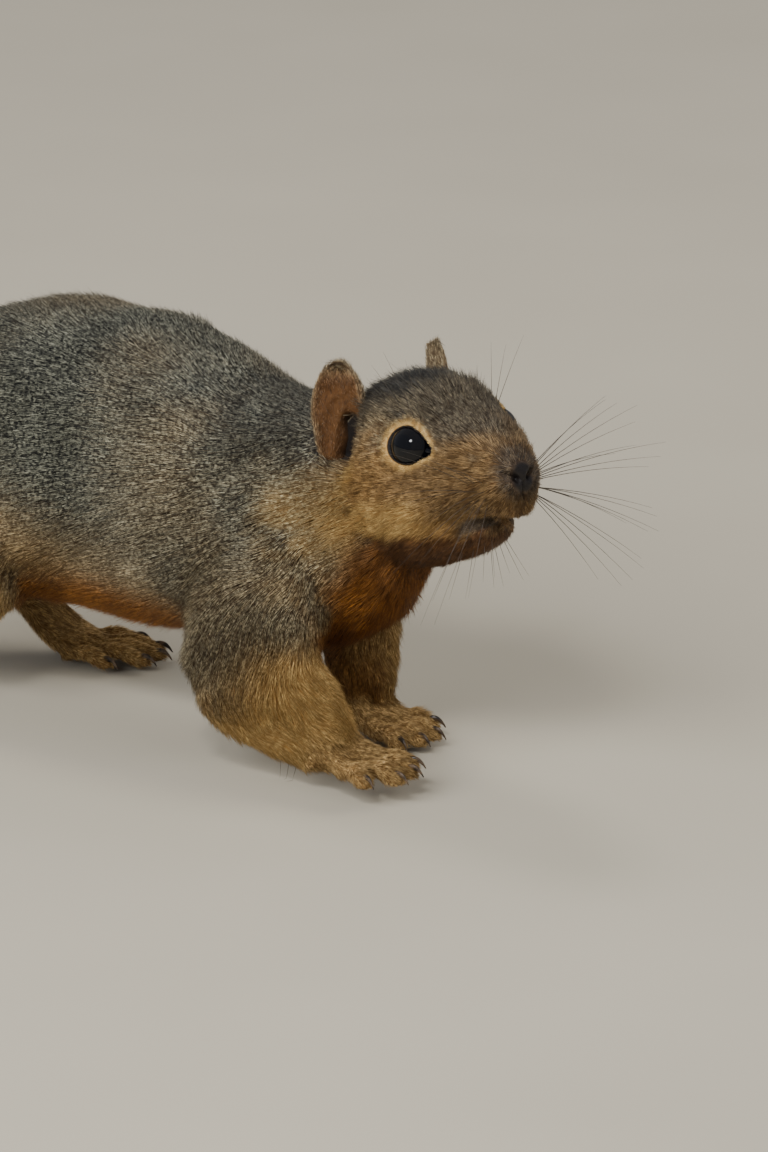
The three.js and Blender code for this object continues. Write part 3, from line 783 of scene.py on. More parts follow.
def marks_and_painted_light(points, normals, part, wander):
    """The shares of tawny, rufous, dark and pale in the coat at each point, painted shade and light among
    them.
    """
    seen = to_head(points)
    x, y, z = points.T
    ahead, aside, above = seen.T
    down = -normals[:, 2]
    on_head = is_part(part, "head", "eye", "lower_jaw")
    on_arm = is_part(part, "upper_arm", "forearm")
    # Rufous: the belly up to a wavering line, the insides of the limbs, the throat and the brush's underside.
    line = np.interp(x, UNDER_LINE_X, UNDER_LINE_Z) + 2.5 * wander[:, 0]
    inward = ease(0.1, 0.7, -normals[:, 1] * np.sign(y))
    under = ease(line + 5, line - 5, z) * ease(-0.45, 0.2, down)
    cheek = ease(12, 1, above + 1.5 * wander[:, 1]) * ease(-30, -14, ahead)
    jowl = ease(-12.5, -17, above + wander[:, 0]) * ease(24, 16, ahead)
    rufous = np.where(is_part(part, "trunk", "neck"), under, 0)
    rufous = np.where(is_part(part, "thigh", "upper_arm"), inward * ease(62, 45, z), rufous)
    rufous = np.where(is_part(part, "forearm", "shank"), 0.6 * inward, rufous)
    rufous = np.where(on_head, np.maximum(jowl, 0.34 * cheek), rufous)
    rufous = np.where(is_part(part, "tail"), 0.8 * ease(-0.4, 0.4, down), rufous)
    # Tawny: the cheeks, the limbs below the elbow and the knee, and a tinge along the flank.
    sleeve = 27 + 0.78 * (x - 56) + 2 * wander[:, 0]
    brown = np.clip(0.1 + 0.1 * wander[:, 1], 0, 0.3)
    tawny = np.where(on_head, np.maximum(0.97 * cheek, 0.4), 0)
    tawny = np.where(is_part(part, "neck"), 0.1 + 0.2 * ease(62, 50, z), tawny)
    tawny = np.where(on_arm, 0.25 + 0.7 * ease(sleeve + 12, sleeve - 6, z), tawny)
    tawny = np.where(is_part(part, "thigh"), 0.6 * ease(50, 28, z), tawny)
    tawny = np.where(is_part(part, "shank", "hand", "hind_foot"), 0.95, tawny)
    tawny = np.where(is_part(part, "tail"), 0.4, tawny)
    tawny = np.where(is_part(part, "trunk"), brown + 0.35 * ease(line + 22, line, z), tawny)
    # Dark: the crown, the nose and its bridge, the whisker beds and the saddle. Painted shade along the lips,
    # on the chin and under the jaw.
    # Painted shade: a dark band along the mouth, where the upper lip overhangs the lower one.
    mouth_shade = 0 * x
    for side in (RIGHT, LEFT):
        mouth_shade = np.maximum(mouth_shade, ease(2.8, 1.2, path_distance(seen * (1, side, 1), LIP_EDGE)))
    dark_of_head = [
        0.94 * ease(8, 18, above + wander[:, 0]) * ease(17, 0, ahead) * ease(-30, -8, ahead),
        0.7 * ease(0, 8, above) * ease(18, 8, np.abs(aside)),
        0.6 * ease(8, 1, np.abs(aside)) * ease(10, 20, ahead) * ease(-2, 3, above),
        0.85 * ease(10, 4.5, np.linalg.norm(seen - (29.5, 0, -1.5), axis=1)),
        # This entry and the three below are painted shade: the low front of the head, the mouth line, the chin
        # and under the jaw.
        0.46 * ease(-7, 8, ahead) * ease(-13, -9, above),
        0.85 * mouth_shade,
        0.55 * ease(8, 15, ahead) * ease(-12.5, -14, above),
        0.5 * ease(-13.5, -17, above) * ease(20, 10, ahead),
    ]
    saddle = ease(0.2, 0.8, normals[:, 2]) * ease(62, 84, z)
    dark = np.where(on_head, np.maximum.reduce(dark_of_head), 0)
    dark = np.where(is_part(part, "trunk"), 0.3 * saddle, dark)
    dark = np.where(is_part(part, "neck"), 0.6 * saddle, dark)
    dark = np.where(is_part(part, "tail"), 0.45, dark)
    # Pale: a ring round each eye, a crease before each ear, the low cheek and behind the ears; and painted
    # light that makes the right arm paler than the left.
    behind_ear = ease(14, 6, np.linalg.norm(seen * (1, 0, 1) - (-24, 0, -9), axis=1))
    golden_cheek = ease(-4, -9, above) * ease(12, 2, ahead) * ease(-15.5, -13, above)
    pale = np.maximum.reduce(
        [
            0.45 * is_part(part, "neck") * behind_ear,
            # Painted light: only the right arm is made paler, standing in for the light that falls on it.
            0.8 * on_arm * ease(sleeve, sleeve - 10, z) * (y < 0),
            0.9 * on_head * golden_cheek,
        ]
    )
    for side, name in EARS:
        ring = ease(2.0, 1.1, past_the_lid(seen, side)[0]) * near_eye(seen, side, 10) * on_head
        crease = ease(2.6, 1, path_distance(seen * (1, side, 1), CHEEK_CREASE))
        pale = np.maximum.reduce([pale, 0.75 * ring, 0.75 * crease])
        own_ear = is_part(part, name)
        inside = ease(-0.2, 0.3, ear_opening(normals, side)) * own_ear
        inside *= ease(0.96, 0.8, ear_place(points, side)[2])
        rufous = np.maximum(rufous, 0.9 * inside)
        dark = np.where(own_ear, 0.36 + 0.26 * inside, dark)
        tawny = np.where(own_ear, 0.45 + 0.5 * inside, tawny)
    return np.clip(np.stack([tawny, rufous, dark, pale], axis=1), 0, 1)


marks = smoothed(marks_and_painted_light(points, hide_normals, part, wander), faces, 3)

# Bare hide: the nose and lids, dark and moist; the soles and the inside of the ears, thin-haired. Painted
# shade darkens each ear's slit and the pocket of skin in front of each ear.
bare_dark_and_shade = np.maximum(pocket, ease(3.4, 2.4, np.linalg.norm((seen - NOSE_AT) * (1, 1, 0.8), axis=1)))
bare_flesh = ease(0.35, 0.75, -hide_normals[:, 2]) * is_part(part, *PAWS) * ease(7, 4, points[:, 2])
for side, name in EARS:
    lid = ease(0.55, 0.3, past_the_lid(seen, side)[0]) * near_eye(seen, side, 10)
    own_ear, opening = is_part(part, name), ear_opening(hide_normals, side)
    inner, _, rimward = ear_place(points, side)
    hollow = ease(-0.1, 0.4, opening) * ease(0.88, 0.76, rimward) * own_ear
    slit = ease(2.8, 1.5, path_distance(inner[:, 1:] * (-side, 1), EAR_SLIT)) * own_ear
    # Painted shade: the slit in each ear is made dark.
    bare_dark_and_shade = np.maximum.reduce([bare_dark_and_shade, lid, 0.88 * slit * ease(-0.3, 0.2, opening)])
    bare_flesh = np.maximum(bare_flesh, 0.62 * hollow)

skin_mesh = make_mesh("skin", points, faces)
skin = add_piece("skin", skin_mesh)


def set_shares(mesh, name, values):
    """Stores four shares at each point of a mesh, for its material."""
    layer = mesh.attributes.new(name, "FLOAT_COLOR", "POINT")
    layer.data.foreach_set("color", np.asarray(values, np.float32).ravel())


none = np.zeros(len(points))
set_shares(skin_mesh, "marks", marks)
set_shares(skin_mesh, "bare", np.stack([bare_dark_and_shade, bare_flesh, none, none], axis=1))

# Each of the coat's colours is a dark tone and a light one, between which a lock is banded.
GRIZZLE_DARK, GRIZZLE_LIGHT = paint(28, 29, 31), paint(174, 173, 152)
TAWNY_DARK, TAWNY_LIGHT = paint(108, 76, 36), paint(244, 204, 136)
RUFOUS_DARK, RUFOUS_LIGHT = paint(88, 52, 20), paint(188, 122, 50)
DARK_DARK, DARK_LIGHT = paint(17, 18, 21), paint(78, 78, 76)
PALE_DARK, PALE_LIGHT = paint(172, 130, 70), paint(242, 208, 138)


def new_group(name, inputs, outputs):
    """An empty shader group with its named sockets, and the nodes at its two ends."""
    group = bpy.data.node_groups.new(name, "ShaderNodeTree")
    for label, kind in inputs:
        group.interface.new_socket(label, in_out="INPUT", socket_type=kind)
    for label, kind in outputs:
        group.interface.new_socket(label, in_out="OUTPUT", socket_type=kind)
    return group, group.nodes.new("NodeGroupInput").outputs, group.nodes.new("NodeGroupOutput").inputs


coat_group, given, result = new_group(
    "banded_coat",
    [("Marks", "NodeSocketColor"), ("Pale", "NodeSocketFloat"), ("Light", "NodeSocketFloat")],
    [("Color", "NodeSocketColor")],
)
share_of = add_node(coat_group, "ShaderNodeSeparateColor", Color=given["Marks"]).outputs
tones = []
for grizzle, tawny, rufous, dark, pale in (
    (GRIZZLE_DARK, TAWNY_DARK, RUFOUS_DARK, DARK_DARK, PALE_DARK),
    (GRIZZLE_LIGHT, TAWNY_LIGHT, RUFOUS_LIGHT, DARK_LIGHT, PALE_LIGHT),
):
    tone = mixed(coat_group, share_of["Red"], grizzle, tawny)
    tone = mixed(coat_group, share_of["Green"], tone, rufous)
    tone = mixed(coat_group, share_of["Blue"], tone, dark)
    tones.append(mixed(coat_group, given["Pale"], tone, pale))
coat_group.links.new(mixed(coat_group, given["Light"], *tones), result["Color"])


def span(tree, value, low, high, out_low=0.0, out_high=1.0):
    """A value carried smoothly from one range to another."""
    smooth = {"interpolation_type": "SMOOTHSTEP"}
    return add_node(
        tree, "ShaderNodeMapRange", smooth, _0=value, _1=low, _2=high, _3=out_low, _4=out_high
    ).outputs[0]


def product(tree, first, *others):
    """Several values multiplied together."""
    for other in others:
        first = add_node(tree, "ShaderNodeMath", {"operation": "MULTIPLY"}, _0=first, _1=other).outputs[0]
    return first


def carried_by(tree, name):
    """The shares that a piece carries at its points: all of them together, and the first three apart."""
    shares = add_node(tree, "ShaderNodeAttribute", {"attribute_name": name}).outputs
    return shares, add_node(tree, "ShaderNodeSeparateColor", Color=shares["Color"]).outputs


def coat_color(tree, light):
    """The banded coat's colour from the marks that a piece carries."""
    marked = carried_by(tree, "marks")[0]
    banded = {"node_tree": coat_group}
    return add_node(
        tree, "ShaderNodeGroup", banded, Marks=marked["Color"], Pale=marked["Alpha"], Light=light
    ).outputs["Color"]


PORE_DEPTH = 0.0002
hide, hide_tree, hide_shader = new_material("hide")
hide_where = add_node(hide_tree, "ShaderNodeTexCoord").outputs["Object"]
hide_pores = add_node(hide_tree, "ShaderNodeTexVoronoi", Vector=hide_where, Scale=2600.0).outputs["Distance"]
hide_bare = carried_by(hide_tree, "bare")[1]
# The hide is kept to the dark end of the coat's bands: partly the dark underfur, partly painted shade between
# the locks.
hide_tint = coat_color(hide_tree, span(hide_tree, cloud(hide_tree, 900.0, 3.0), 0.35, 0.75, 0.0, 0.3))
hide_tint = mixed(hide_tree, hide_bare["Green"], hide_tint, paint(84, 54, 24))
hide_tint = mixed(hide_tree, hide_bare["Red"], hide_tint, paint(23, 19, 18))
hide_rough = span(hide_tree, hide_bare["Red"], 0.0, 1.0, 0.75, 0.42)
hide_bump = add_node(hide_tree, "ShaderNodeBump", Height=hide_pores, Distance=PORE_DEPTH, Strength=0.5)
hide_tree.links.new(hide_tint, hide_shader.inputs["Base Color"])
hide_tree.links.new(hide_rough, hide_shader.inputs["Roughness"])
hide_tree.links.new(hide_bump.outputs["Normal"], hide_shader.inputs["Normal"])
hide_shader.inputs["Specular IOR Level"].default_value = 0.3
skin_mesh.materials.append(hide)
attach(skin, "root")
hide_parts(*FLESH)

# ---- The eyes ----
# Two wet, nearly black eyeballs, turned a little forward in the head. The clear front bulges over an iris so
# dark that it hardly shows, and a small dark fold of the inner lid fills the front corner.

EYE_ROUNDS = 40
EYE_BULGE = 0.025  # how far the clear front stands out, over the eyeball's radius
CORNER_HALF_SIZE = (0.75, 1.9, 0.75)


def ball(rings, segments):
    """A ball of radius one with its pole ahead along X: points and triangles."""
    polar = np.linspace(0, math.pi, rings + 1)[1:-1]
    turn = np.arange(segments) * 2 * math.pi / segments
    body = np.stack(
        [
            np.repeat(np.cos(polar), segments),
            np.outer(np.sin(polar), np.cos(turn)).ravel(),
            np.outer(np.sin(polar), np.sin(turn)).ravel(),
        ],
        axis=1,
    )
    points = np.concatenate([body, [[1, 0, 0], [-1, 0, 0]]])
    faces = []
    for i in range(rings - 2):
        for j in range(segments):
            a, b = i * segments + j, i * segments + (j + 1) % segments
            faces += [(a, a + segments, b + segments), (a, b + segments, b)]
    front, rear, last = len(points) - 2, len(points) - 1, (rings - 2) * segments
    for j in range(segments):
        k = (j + 1) % segments
        faces += [(front, j, k), (rear, last + k, last + j)]
    return points, np.array(faces)


wet_eye, eye_tree, eye_shader = new_material("wet_eye")
eye_ring = add_node(eye_tree, "ShaderNodeAttribute", {"attribute_name": "off_axis"}).outputs["Fac"]
iris_share = product(
    eye_tree,
    span(eye_tree, eye_ring, 0.42, 0.5),
    span(eye_tree, eye_ring, 0.95, 0.85),
    span(eye_tree, cloud(eye_tree, 1400.0), 0.3, 0.8, 0.3, 1.0),
)
eye_tint = mixed(eye_tree, iris_share, paint(4, 5, 9), paint(12, 10, 11))
eye_tree.links.new(eye_tint, eye_shader.inputs["Base Color"])
eye_shader.inputs["Roughness"].default_value = 0.05
eye_shader.inputs["IOR"].default_value = 1.37
sphere, sphere_faces = ball(EYE_ROUNDS, EYE_ROUNDS)
off_axis = np.arccos(np.clip(sphere[:, 0], -1, 1))
for side, name in ((RIGHT, "eye_right"), (LEFT, "eye_left")):
    outward, forward = eye_axes(side)[:2]
    axes = np.stack([outward, forward, np.cross(outward, forward)])
    middle = EYE_AT * (1, side, 1)
    bulge = EYE_RADIUS * (1 + EYE_BULGE * ease(0.9, 0, off_axis))
    eyeball = (sphere * bulge[:, None]) @ axes + middle
    corner = (sphere * CORNER_HALF_SIZE) @ axes + middle + forward * (EYE_OPEN + 0.5) + outward * 1.75
    eye_points, eye_faces = joined([(eyeball, sphere_faces), (corner, sphere_faces)])
    eye_mesh = make_mesh(name + "_ball", from_head(eye_points), eye_faces)
    ring = eye_mesh.attributes.new("off_axis", "FLOAT", "POINT")
    ring.data.foreach_set("value", np.append(off_axis, np.full(len(sphere), 2.0)).astype(np.float32))
    eye_mesh.materials.append(wet_eye)
    eye_piece = add_piece(name + "_ball", eye_mesh)
    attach(eye_piece, "root")
    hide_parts(name)

# ---- The claws ----
# One curved, flattened claw of dark horn at the end of each finger and toe, rooted in the tip's flesh and
# hooked down to a point just over the floor.

CLAW_LENGTH = 4.0
CLAW_ROOT_RADIUS = 1.0
CLAW_SLENDER = 0.62  # its width over its height
CLAW_ROOTED = 2.2  # how far it starts behind the end of the digit
OFF_FLOOR = 0.35  # the least height of a claw or a hair


def claw(tip, ahead, rise):
    """One claw from the end of a digit: points and triangles."""
    share = np.linspace(0, 1, 9)[:, None]
    root = tip - ahead * CLAW_ROOTED + up_axis * rise
    hook = up_axis * (0.9 * np.sin(share * math.pi * 0.75) - 2.4 * share**2)
    path = root + ahead * CLAW_LENGTH * share + hook
    path[:, 2] = np.maximum(path[:, 2], OFF_FLOOR)
    radii = CLAW_ROOT_RADIUS * (1 - 0.88 * share[:, 0] ** 1.3)
    points, faces = tube(path, radii, 8)
    side = unit(np.cross(ahead, up_axis))
    middle = root + ahead * ((points - root) @ ahead)[:, None]
    points = points - side * ((points - middle) @ side)[:, None] * (1 - CLAW_SLENDER)
    return points, faces


horn, horn_tree, horn_shader = new_material("claw_horn")
horn_streaks = span(horn_tree, cloud(horn_tree, 700.0, 4.0), 0.35, 0.7)
horn_tint = mixed(horn_tree, horn_streaks, paint(30, 24, 20), paint(92, 74, 56))
horn_tree.links.new(horn_tint, horn_shader.inputs["Base Color"])
horn_shader.inputs["Roughness"].default_value = 0.34
claw_solids = [
    claw(tip, unit((beyond_tip - tip) * (1, 1, 0)), flesh * 0.62) for tip, beyond_tip, flesh in digit_ends
]
claw_mesh = make_mesh("claws", *joined(claw_solids))
claw_mesh.materials.append(horn)
claws = add_piece("claws", claw_mesh)
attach(claws, "root")

# ---- The short coat ----
# Straight, close fur over the whole animal except the brush: each lock is a thin spike of joined hairs, rooted
# in the skin, that lies back along the body. It is shortest on the face, the ears and the paws.

LIMB_BONES = {
    "upper_arm_right": ((50, -13, 58), (43, -27.5, 21)),
    "forearm_right": ((43, -27.5, 21), (75, -21.8, 9.5)),
    "upper_arm_left": ((50, 13, 58), (44.5, 22.5, 37)),
    "forearm_left": ((44.5, 22.5, 37), (57.5, 11.5, 11)),
    "thigh_right": ((-52, -20, 66), (-56, -29, 35)),
    "thigh_left": ((-45, 20, 66), (-48, 30, 42)),
    "shank_right": ((-25, -29, 35), (-87, -30, 16)),
    "shank_left": ((-15, 30, 42), (-56, 5, 29)),
}


def lie_of_coat(points, normals, faces, part):
    """The way the hair points at each place of the skin: back from the nose, and down each limb."""
    seen = to_head(points)
    lie = np.tile([-1.0, 0, -0.25], (len(points), 1))
    from_nose = (seen - (31, 0, -2)) @ head_turn.T
    lie = np.where(is_part(part, "head", "eye", "lower_jaw")[:, None], unit(from_nose), lie)
    lie = np.where(is_part(part, "neck")[:, None], [-0.85, 0, -0.5], lie)
    for name, (start, end) in LIMB_BONES.items():
        lie = np.where(is_part(part, name)[:, None], unit(np.subtract(end, start, dtype=float)), lie)
    for name, limb in LIMBS.items():
        turn = math.radians(limb["turn"])
        lie = np.where(is_part(part, name)[:, None], [math.cos(turn), math.sin(turn), -0.3], lie)
    for side, name in EARS:
        upward = np.array([0.0, 0, 1]) @ ear_turn(side).T @ head_turn.T
        lie = np.where(is_part(part, name)[:, None], upward, lie)
    lie = smoothed(lie, faces, 12)
    return unit(lie - normals * np.sum(lie * normals, axis=1)[:, None])


LIP_LINE = [(25, 0, -12), (22, 2.6, -12.3), (18, 4, -12.8), (13.4, 6.8, -13.6)]
lie = lie_of_coat(points, hide_normals, faces, part)
coat = smoothed(coat_of_part[part], faces, 10)
coat_length, coat_width, coat_cover, coat_rise = coat[:, 1:].T.copy()
# The hair shortens toward the eyes, the nose and the lips, and is left off bare hide. A short tuft runs past
# the top of each ear.
by_mouth = is_part(part, "head", "lower_jaw")
on_face = is_part(part, "head", "lower_jaw", "eye")
shorter = 0.3 + 0.7 * ease(0, 9, np.linalg.norm(seen - (29, 0, -3), axis=1))
for side, name in EARS:
    by_lid = 0.3 + 0.7 * ease(0.3, 5, past_the_lid(seen, side)[0])
    shorter = np.minimum(shorter, np.where(near_eye(seen, side, 12), by_lid, 1))
    from_lips = path_distance(seen * (1, side, 1), LIP_LINE)
    shorter = np.minimum(shorter, np.where(by_mouth, 0.35 + 0.65 * ease(0, 5, from_lips), 1))
    coat_cover *= np.where(by_mouth, ease(0.1, 0.6, from_lips), 1)
    ear_top = ease(0.84, 1, to_ear(points, side)[:, 2] / EAR_HEIGHT) * is_part(part, name)
    coat_length *= 1 + 1.2 * ear_top
coat_length *= np.where(on_face, shorter, 1)
coat_width *= np.where(on_face, 0.55 + 0.45 * shorter, 1)
coat_cover *= 1 - np.clip(1.3 * bare_dark_and_shade + 1.2 * bare_flesh, 0, 1)
# It stands fuller over the crown, the cheeks and the back of the head.
fuller = ease(8, 16, seen[:, 2]) * ease(16, 6, seen[:, 0])
fuller += 0.6 * ease(-8, -24, seen[:, 0]) * ease(14, 0, seen[:, 2])
fuller *= is_part(part, "head", "eye")
coat_length *= 1 + 0.5 * fuller
coat_rise *= 1 + 0.4 * fuller
# Neighbouring locks lean and lengthen together.
clump = smoothed(np.random.default_rng(8).normal(size=(len(points), 3)), faces, 7)
clump /= clump.std(axis=0)
hide_surface = BVHTree.FromPolygons(points.tolist(), faces.tolist())


def speckle(spots, grain, seed):
    """A smooth random value of spread one at each spot, with blotches of about the grain's size."""
    rng = np.random.default_rng(seed)
    waves = unit(rng.normal(size=(24, 3))) * 2 * math.pi / (grain * rng.uniform(1.4, 3, (24, 1)))
    return np.cos(spots @ waves.T + rng.uniform(0, 2 * math.pi, 24)).sum(axis=1) / math.sqrt(12)


def unrolled(spots, spot_part):
    """Where each spot falls on a map of the skin, with each part of the body unrolled in its own cell."""
    present = np.unique(spot_part)
    across = math.ceil(math.sqrt(len(present)))
    place_on_map = np.zeros((len(spots), 2))
    for cell, index in enumerate(present):
        own = spot_part == index
        local = spots[own] - points[part == index].mean(axis=0)
        axes = np.linalg.svd(local[:: max(1, len(local) // 2000)], full_matrices=False)[2]
        along, side, over = (local @ axis for axis in axes)
        lengthwise = (along - along.min()) / max(np.ptp(along), 1e-6)
        round_it = np.arctan2(over, side) / (2 * math.pi) + 0.5
        corner = np.array([cell % across, cell // across])
        place_on_map[own] = (corner + 0.02 + 0.96 * np.stack([lengthwise, round_it], axis=1)) / across
    return place_on_map


MAP_PATCH = 0.003  # how wide a lock's patch is on the map


def lock_mesh(name, centres, widths, over, shares, kinds, map_spots):
    """Locks as one mesh: each has rings of three points along its centres, and closes in its last one."""
    locks, rings = centres.shape[0], centres.shape[1] - 1
    ahead = unit(np.gradient(centres, axis=1)[:, :-1])
    side = unit(np.cross(ahead, over[:, None]))
    top = np.cross(side, ahead)
    half = widths[..., None] / 2
    middle = centres[:, :-1]
    rings_at = np.stack([middle - side * half, middle + top * half * 0.9, middle + side * half], axis=2)
    spots = np.concatenate([rings_at.reshape(locks, rings * 3, 3), centres[:, -1:]], axis=1)
    pattern = []
    for i in range(rings - 1):
        for j in range(3):
            a, b = i * 3 + j, i * 3 + (j + 1) % 3
            pattern += [(a, b, b + 3), (a, b + 3, a + 3)]
    last = (rings - 1) * 3
    pattern += [(last + j, last + (j + 1) % 3, rings * 3) for j in range(3)]
    pattern = np.array(pattern)
    faces = (pattern[None] + (np.arange(locks) * (rings * 3 + 1))[:, None, None]).reshape(-1, 3)
    mesh = make_mesh(name, spots.reshape(-1, 3), faces)
    along = np.append(np.repeat(np.arange(rings) / rings, 3), 1)
    strand = np.zeros((locks, rings * 3 + 1, 4))
    strand[..., 0] = along
    strand[..., 1:] = kinds[:, None]
    set_shares(mesh, "marks", np.repeat(shares[:, None], rings * 3 + 1, axis=1).reshape(-1, 4))
    set_shares(mesh, "strand", strand.reshape(-1, 4))
    across = np.append(np.tile([-1, 0, 1], rings), 0)
    within = MAP_PATCH / 2 * np.stack([across, along * 2 - 1], axis=1)
    mapped = np.clip(map_spots, MAP_PATCH, 1 - MAP_PATCH)[:, None, None] + within[pattern][None]
    layer = mesh.uv_layers.new(name="OFBake")
    layer.uv.foreach_set("vector", mapped.astype(np.float32).ravel())
    return mesh


shade_sockets = [(label, "NodeSocketFloat") for label in ("Share", "Darkest", "Lightest")]
shade_group, given, result = new_group(
    "lock_shade", [("Color", "NodeSocketColor"), *shade_sockets], [("Color", "NodeSocketColor")]
)
shade = span(shade_group, given["Share"], 0.0, 1.0, given["Darkest"], given["Lightest"])
shade = add_node(shade_group, "ShaderNodeCombineColor", Red=shade, Green=shade, Blue=shade).outputs[0]
shade_group.links.new(mixed(shade_group, 1.0, given["Color"], shade, "MULTIPLY"), result["Color"])


def shaded(tree, tint, share, darkest, lightest):
    """A colour made darker or lighter over a whole lock, by the lock's own share."""
    shading = {"node_tree": shade_group}
    return add_node(
        tree, "ShaderNodeGroup", shading, Color=tint, Share=share, Darkest=darkest, Lightest=lightest
    ).outputs["Color"]


fur, fur_tree, fur_shader = new_material("short_fur")
whole, strand = carried_by(fur_tree, "strand")
# A dark root, a light band past the middle of the lock and a dark tip; some locks stay dark all along, and
# the grizzled ones are flecked.
fleck = span(fur_tree, cloud(fur_tree, 1250.0), 0.38, 0.63, 0.04, 1.2)
fleck = add_node(fur_tree, "ShaderNodeMix", _0=whole["Alpha"], A=0.8, B=fleck).outputs[0]
band = product(
    fur_tree,
    span(fur_tree, strand["Red"], 0.2, 0.6),
    span(fur_tree, strand["Red"], 1.05, 0.8, 0.3, 1.0),
    span(fur_tree, strand["Green"], 0.2, 0.8, 0.3, 1.0),
    fleck,
)
fur_tint = shaded(fur_tree, coat_color(fur_tree, band), strand["Blue"], 0.72, 1.12)
fur_tree.links.new(fur_tint, fur_shader.inputs["Base Color"])
fur_shader.inputs["Roughness"].default_value = 0.55
fur_shader.inputs["Specular IOR Level"].default_value = 0.35

face_parts = [i for i, name in enumerate(PARTS) if name.startswith(("head", "eye", "lower", "ear"))]
LOCK_FILL = 0.62  # the share of its length times its width that a lock covers
GUARD_HAIRS = 0.03  # the share of the locks that are longer, thinner and steeper
LOCK_ROOTED = 0.25  # how deep in the skin a lock starts
LEAST_LIFT = 0.12  # of a lock's end over the skin
HAIR_OFF_FLOOR = 0.3


def grow_coat(name, where, seed, pieces=1):
    """Covers the skin of some parts with locks of hair, in pieces that follow each other along the body."""
    rng = np.random.default_rng(seed)
    own = faces[where[faces[:, 0]]]
    a, b, c = (points[own[:, i]] for i in range(3))
    area = np.linalg.norm(np.cross(b - a, c - a), axis=1) / 2
    length, width, cover = (values[own].mean(axis=1) for values in (coat_length, coat_width, coat_cover))
    wanted = area * cover / (length * width * LOCK_FILL)
    count = np.floor(wanted + rng.random(len(own))).astype(int)
    pick = np.repeat(np.arange(len(own)), count)
    locks, lock_part = len(pick), part[own[pick, 0]]
    u, v = np.sqrt(rng.random(locks)), rng.random(locks)
    weight = np.stack([1 - u, u * (1 - v), u * v], axis=1)

    def at(values):
        return np.einsum("nk,nk...->n...", weight, values[own[pick]])

    root, normal, way, tuft = at(points), unit(at(hide_normals)), at(lie), at(clump)
    reach = at(coat_length) * rng.uniform(0.7, 1.25, locks) * (1 + 0.08 * tuft[:, 2])
    guard = rng.random(locks) < GUARD_HAIRS
    reach = np.where(guard, reach * 1.2, reach)
    thick = at(coat_width) * rng.uniform(0.7, 1.2, locks) * np.where(guard, 0.6, 1)
    swing = 0.16 * tuft[:, 0] + rng.normal(0, 0.13, locks)
    way = unit(way + np.cross(way, normal) * swing[:, None])
    rise = at(coat_rise) * (1 + 0.22 * tuft[:, 1] + rng.normal(0, 0.18, locks) + guard * 0.25)
    rise = np.clip(rise, 0.08, 0.9)
    # Each lock ends at its own height over the skin that lies below its end.
    tip = root + (way + normal * rise[:, None]) * reach[:, None]
    landing = [hide_surface.find_nearest(spot) for spot in tip.tolist()]
    below = np.array([hit[0][:] for hit in landing])
    below_normal = np.array([hit[1][:] for hit in landing])
    height = np.abs(np.sum((tip - below) * below_normal, axis=1))
    lift = np.maximum(np.minimum(height, reach * rise * 1.05), LEAST_LIFT)
    centres = np.stack([root - normal * LOCK_ROOTED, below + below_normal * lift[:, None]], axis=1)
    centres[..., 2] = np.maximum(centres[..., 2], HAIR_OFF_FLOOR)
    # What the material is told of each lock: its markings, its lightness, its shade and how flecked it is.
    own_marks = at(marks)
    shares = np.clip(own_marks + rng.normal(0, 0.05, (locks, 4)) * (own_marks > 0.02), 0, 1)
    lightness = 0.5 + 0.26 * speckle(root, 0.8, seed) + 0.05 * tuft[:, 0] + rng.normal(0, 0.16, locks)
    plain = np.clip(own_marks, 0, 1)[:, [0, 1, 3]].max(axis=1)
    flecked = (1 - 0.6 * plain) * np.where(np.isin(lock_part, face_parts), 0.7, 1)
    kinds = np.stack([np.clip(lightness, 0, 1), rng.random(locks), flecked], axis=1)
    lots = (centres, thick[:, None], normal, shares, kinds, unrolled(root, lock_part))
    order = np.argsort(root[:, 0] if pieces > 1 else np.arange(locks), kind="stable")
    for number, chosen in enumerate(np.array_split(order, pieces)):
        label = name if pieces == 1 else f"{name}_{number + 1}"
        mesh = lock_mesh(label, *(lot[chosen] for lot in lots))
        mesh.materials.append(fur)
        piece = add_piece(label, mesh)
        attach(piece, "root")


grow_coat("coat_face", is_part(part, "head", "eye", "lower_jaw"), 21, pieces=2)
grow_coat("coat_ears", is_part(part, "ear"), 22)
grow_coat("coat_paws", is_part(part, *PAWS), 23)
grow_coat("coat_neck", is_part(part, "neck"), 24)
grow_coat("coat_trunk", is_part(part, "trunk"), 25, pieces=3)
grow_coat("coat_arms", is_part(part, "upper_arm", "forearm"), 26)
grow_coat("coat_legs", is_part(part, "thigh", "shank"), 27)

# ---- The brush ----
# Long, soft hair that stands out from the thin tail to both sides and sweeps back past its end. Each lock is
# rufous at its root, black past its middle and orange at its tip.

BRUSH_LOCKS = 36000
BRUSH_RINGS = 2
BRUSH_SWEEP = 30  # how far back along the tail a lock carries
BRUSH_RAGGED = 1.2  # how far the ends stray from an even surface
LAST_STATION = len(brush_stations) - 1
brush_rng = np.random.default_rng(31)
core_share = brush_rng.random(BRUSH_LOCKS) ** 0.9
core_place = core_share * LAST_STATION
angle = brush_rng.uniform(-math.pi, math.pi, BRUSH_LOCKS)
angle = angle - 0.28 * np.sin(2 * angle)  # more locks to the sides than above and below


def along_brush(values, place_along):
    """A measure of the brush part-way between its stations."""
    return np.stack([np.interp(place_along, np.arange(len(values)), row) for row in values.T], axis=1)


